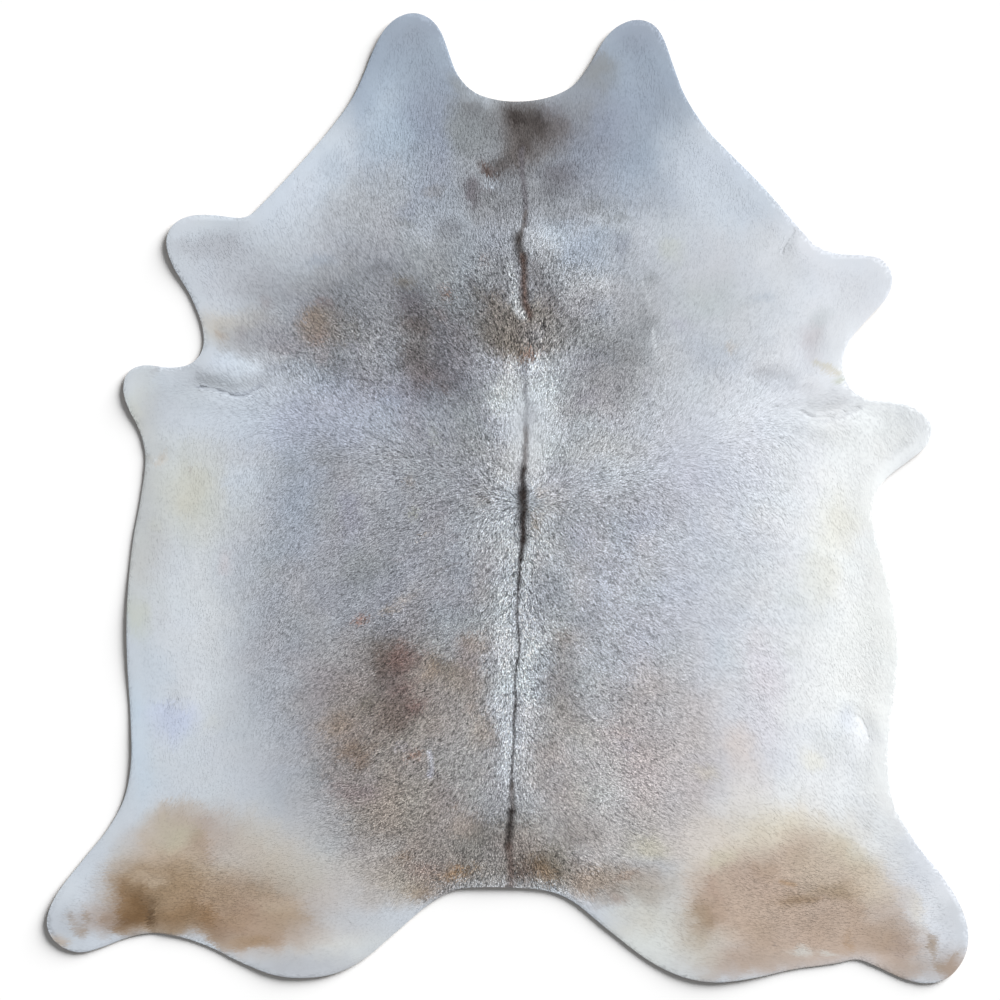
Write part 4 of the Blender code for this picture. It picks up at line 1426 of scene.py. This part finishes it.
@dataclass
class Coat:
    """The hair: two-facet tufts that lie along the flow, joined in bands from neck to rump."""

    bands: tuple[str, ...] = ("coat_neck", "coat_shoulders", "coat_back", "coat_loin", "coat_rump")
    spacing: float = 2.3
    sleek_share: float = 0.5
    inset: float = 0.5
    length: float = 7.6
    sleek_length: float = 13.0
    length_spread: float = 0.22
    width: float = 0.9
    sleek_width: float = 1.4
    width_spread: float = 0.25
    turn_spread: float = 12.0
    lock_turn: float = 12.0
    rise: float = 1.0
    sleek_rise: float = 0.08
    rise_spread: float = 0.3
    overhang: float = 0.3
    root_painted_shade: float = 0.9
    sleekest: float = 0.12
    evenness: float = 0.8
    own_normal: float = 0.25
    roundness: float = 0.14
    curl: float = 10.0
    lean: float = 0.16
    least_rise: float = 0.06
    most_rise: float = 2.4
    middle_rise: float = 0.75
    root_sink: float = 0.03
    slope_reach: float = 6.0
    seed: int = 77

    def roots(self, rim: Rim, markings: Markings, rng: np.random.Generator) -> tuple[Array, Array, Array]:
        """Where the tufts grow: one in each cell of a fine grid, with fewer where the hair is sleek.

        Args:
            rim: The hide's edge.
            markings: The hide's colouring.
            rng: The seeded source of chance.

        Returns:
            The roots across and along the hide, and how far inside the edge each is.
        """
        low = rim.points.min(axis=0)
        high = rim.points.max(axis=0)
        columns = np.arange(low[0], high[0], self.spacing)
        rows = np.arange(low[1], high[1], self.spacing)
        x, y = (part.ravel() for part in np.meshgrid(columns, rows))
        x = x + rng.uniform(0.0, self.spacing, len(x))
        y = y + rng.uniform(0.0, self.spacing, len(y))
        share = self.sleek_share + (1.0 - self.sleek_share) * markings.roughness(x, y)
        grows = rng.uniform(0.0, 1.0, len(x)) < share
        x, y = x[grows], y[grows]
        room = rim.room(x, y, NEAR_RIM)
        keep = room > self.inset
        return x[keep], y[keep], room[keep]

    def build(self, rim: Rim, shape: LaidShape, leather: Leather, markings: Markings,
              flow: HairFlow) -> list[bpy.types.Object]:
        """Make the bands of hair.

        Args:
            rim: The hide's edge.
            shape: The solid's heights.
            leather: The leather's sizes.
            markings: The hide's colouring.
            flow: Which way the hair lies.

        Returns:
            The bands, from neck to rump.
        """
        rng = np.random.default_rng(self.seed)
        x, y, room = self.roots(rim, markings, rng)
        count = len(x)
        dx, dy = flow.direction(x, y)
        ruffled = markings.roughness(x, y)
        rough = self.sleekest + (1.0 - self.sleekest) * ruffled
        turn = np.radians(self.lock_turn) * Mottle(26.0, 41).at(x, y)
        turn += np.radians(rng.normal(0.0, self.turn_spread, count)) * rough
        dx, dy = dx * np.cos(turn) - dy * np.sin(turn), dx * np.sin(turn) + dy * np.cos(turn)
        long = np.interp(ruffled, (0.0, 1.0), (self.sleek_length, self.length))
        long *= np.exp(rng.normal(0.0, self.length_spread, count))
        long = np.minimum(long, room + self.overhang)
        half = np.interp(ruffled, (0.0, 1.0), (self.sleek_width, self.width))
        half *= np.exp(rng.normal(0.0, self.width_spread, count))
        half = np.minimum(half, room)
        rise = np.interp(ruffled, (0.0, 1.0), (self.sleek_rise, self.rise))
        rise += self.rise_spread * rough * rng.normal(0.0, 1.0, count)
        rise = np.clip(rise, self.least_rise, self.most_rise)
        tones = markings.hairs(x, y, flow, rng)

        curl = np.radians(rng.normal(0.0, self.curl, count)) * rough
        tip_dx = dx * np.cos(curl) - dy * np.sin(curl)
        tip_dy = dx * np.sin(curl) + dy * np.cos(curl)
        mid_x, mid_y = x + dx * 0.5 * long, y + dy * 0.5 * long
        tip_x, tip_y = mid_x + tip_dx * 0.5 * long, mid_y + tip_dy * 0.5 * long
        lean = rng.normal(0.0, self.lean, count) * half * rough

        def height(px: Array, py: Array) -> Array:
            """The leather's height under points, near enough for hair."""
            return leather.top_height(px, py, shape, room)

        under_root, under_mid, under_tip = height(x, y), height(mid_x, mid_y), height(tip_x, tip_y)
        side_x, side_y = self.slope_reach * dy, -self.slope_reach * dx
        beside = height(mid_x + side_x, mid_y + side_y)
        middle = under_mid + self.middle_rise * rise
        root = np.stack([x, y, under_root - self.root_sink], axis=1)
        right = np.stack([mid_x + dy * half, mid_y - dx * half, middle + lean], axis=1)
        left = np.stack([mid_x - dy * half, mid_y + dx * half, middle - lean], axis=1)
        tip = np.stack([tip_x, tip_y, under_tip + rise], axis=1)
        corners = np.stack([root, right, left, tip], axis=1)
        # Each tuft's root is painted darker where the hair is ruffled: painted shade under the tufts lying
        # over it.
        painted_shades = np.ones((count, 4))
        painted_shades[:, 0] = 1.0 - (1.0 - self.root_painted_shade) * ruffled

        along = np.stack([tip_x - x, tip_y - y, under_tip - under_root], axis=1)
        across = np.stack([side_x, side_y, beside - under_mid], axis=1)
        own = self.own_normal * ruffled[:, None]
        lie = unit(np.cross(across, along))
        lie[:, 2] += self.evenness
        facing = (1.0 - own) * unit(lie) + own * unit(np.cross(right - left, tip - root))
        bulge = self.roundness * ruffled[:, None] * unit(across)
        normals = np.stack([facing, facing + bulge, facing - bulge, facing], axis=1)

        cuts = np.array_split(np.argsort(-y, kind="stable"), len(self.bands))
        made = []
        material = HairFinish().material()
        for name, part in zip(self.bands, cuts):
            places = corners[part].reshape(-1, 3) * MM
            colours = (tones[part][:, None, :] * painted_shades[part][:, :, None]).reshape(-1, 3)
            cells = self.cells(x[part], y[part])
            facings = unit(normals[part].reshape(-1, 3))
            ruffles = np.repeat(ruffled[part], 4)
            made.append(self.band(name, places, colours, ruffles, cells, facings, material))
        return made

    @staticmethod
    def cells(x: Array, y: Array) -> Array:
        """A square of its own for each tuft on the band's map, near its neighbours' squares.

        Args:
            x, y: The tufts across and along the hide.

        Returns:
            Map places of each tuft's root, right, left and tip.
        """
        side = math.ceil(math.sqrt(len(x)))
        column = np.empty(len(x), int)
        row = np.empty(len(x), int)
        for index, part in enumerate(np.array_split(np.argsort(x, kind="stable"), side)):
            column[part] = index
            row[part[np.argsort(y[part], kind="stable")]] = np.arange(len(part))
        low = np.stack([column, row], axis=1)[:, None, :]
        corner = np.array([(0.04, 0.04), (0.96, 0.04), (0.04, 0.96), (0.96, 0.96)])
        return ((low + corner[None]) / side).reshape(-1, 2)

    @staticmethod
    def band(name: str, places: Array, colours: Array, ruffled: Array, cells: Array,
             facings: Array, material: bpy.types.Material) -> bpy.types.Object:
        """One band of joined tufts.

        Args:
            name: The band's name.
            places: Four points for each tuft, in metres.
            colours: A colour for each point.
            ruffled: How ruffled the hair is at each point.
            cells: A map place for each point.
            facings: A shading direction for each point.
            material: The hair's material.

        Returns:
            The band.
        """
        tufts = len(places) // 4
        start = 4 * np.arange(tufts)[:, None]
        corners = (start + np.array([0, 1, 2, 2, 1, 3])).ravel()
        mesh = bpy.data.meshes.new(name)
        mesh.vertices.add(len(places))
        mesh.vertices.foreach_set("co", places.astype(np.float32).ravel())
        mesh.loops.add(len(corners))
        mesh.loops.foreach_set("vertex_index", corners.astype(np.int32))
        mesh.polygons.add(2 * tufts)
        mesh.polygons.foreach_set("loop_start", np.arange(0, len(corners), 3, dtype=np.int32))
        mesh.polygons.foreach_set("loop_total", np.full(2 * tufts, 3, np.int32))
        mesh.polygons.foreach_set("use_smooth", np.ones(2 * tufts, bool))
        mesh.update(calc_edges=True)
        layer = mesh.uv_layers.new(name="OFBake", do_init=False)
        layer.uv.foreach_set("vector", cells[corners].astype(np.float32).ravel())
        set_tones(mesh, "hair_tone", colours, ruffled)
        mesh.normals_split_custom_set_from_vertices(facings.astype(np.float32))
        mesh.materials.append(material)
        band = named_object(name, mesh)
        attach(band, "root")
        return band


@dataclass
class Studio:
    """Floor, light and camera."""

    floor_half: float = 40.0
    view_width: float = 2.25
    view_x: float = -0.017
    view_y: float = -0.0036
    focus_height: float = 0.008
    lens: float = 85.0
    sensor: float = 36.0
    clip_end: float = 50.0
    sun_height: float = 19.5
    sun_azimuth: float = 42.0
    sun_strength: float = 9.1
    sun_angle: float = 38.0
    sky: float = 0.22

    def floor(self) -> bpy.types.Object:
        """Lay the floor under the hide."""
        half = self.floor_half
        corners = [(-half, -half, 0), (half, -half, 0), (half, half, 0), (-half, half, 0)]
        mesh = bpy.data.meshes.new("studio_floor")
        mesh.from_pydata(corners, [], [(0, 1, 2, 3)])
        mesh.materials.append(FloorFinish().material())
        floor = named_object("studio_floor", mesh)
        return floor

    def light(self) -> None:
        """Set a soft sun from the upper right and an even pale sky."""
        lamp = bpy.data.lights.new("window_light", "SUN")
        lamp.energy = self.sun_strength
        lamp.angle = math.radians(self.sun_angle)
        sun = bpy.data.objects.new("window_light", lamp)
        azimuth, height = math.radians(self.sun_azimuth), math.radians(self.sun_height)
        level = math.cos(height)
        way = Vector((math.cos(azimuth) * level, math.sin(azimuth) * level, math.sin(height)))
        sun.rotation_mode = "QUATERNION"
        sun.rotation_quaternion = way.to_track_quat("Z", "Y")
        bpy.context.collection.objects.link(sun)
        world = bpy.data.worlds.new("pale_sky")
        world.use_nodes = True
        sky = world.node_tree.nodes["Background"]
        sky.inputs["Color"].default_value = (1.0, 1.0, 1.0, 1.0)
        sky.inputs["Strength"].default_value = self.sky
        bpy.context.scene.world = world
        bpy.context.scene.view_settings.view_transform = "Standard"

    def camera(self) -> bpy.types.Object:
        """Hang the camera straight above the hide, neck end up."""
        data = bpy.data.cameras.new("camera")
        data.lens = self.lens
        data.sensor_width = self.sensor
        data.clip_end = self.clip_end
        camera = bpy.data.objects.new("camera", data)
        away = self.view_width * self.lens / self.sensor
        camera.location = (self.view_x, self.view_y, self.focus_height + away)
        bpy.context.collection.objects.link(camera)
        bpy.context.scene.camera = camera
        return camera


def remove_start_objects() -> None:
    """Take away what Blender starts with, and leave the frame."""
    kept = set(frame["nodes"].values()) | set(frame["bodies"].values())
    for thing in list(bpy.data.objects):
        if thing.name in ("Cube", "Light", "Camera") and thing not in kept:
            bpy.data.objects.remove(thing, do_unlink=True)


def report(piece: bpy.types.Object) -> None:
    """Log a piece's size and how many faces it has."""
    size = [round(v / MM) for v in piece.dimensions]
    LOG.info("%s: %d faces, %d x %d x %d mm", piece.name, len(piece.data.polygons), *size)


def main() -> None:
    """Build the rug, piece by piece, and note its size."""
    logging.basicConfig(level=logging.INFO, format="%(message)s", stream=sys.stdout)
    remove_start_objects()
    node = frame["nodes"]["hide"]
    studio = Studio()
    studio.camera()
    studio.floor()
    studio.light()

    rim = Rim(node)
    shape = LaidShape(node)
    markings = Markings()
    flow = HairFlow()
    leather = Leather()
    sheet = leather.build(rim, shape, markings)
    report(sheet)
    bands = Coat().build(rim, shape, leather, markings, flow)
    for band in bands:
        report(band)


if __name__ == "__main__":
    main()
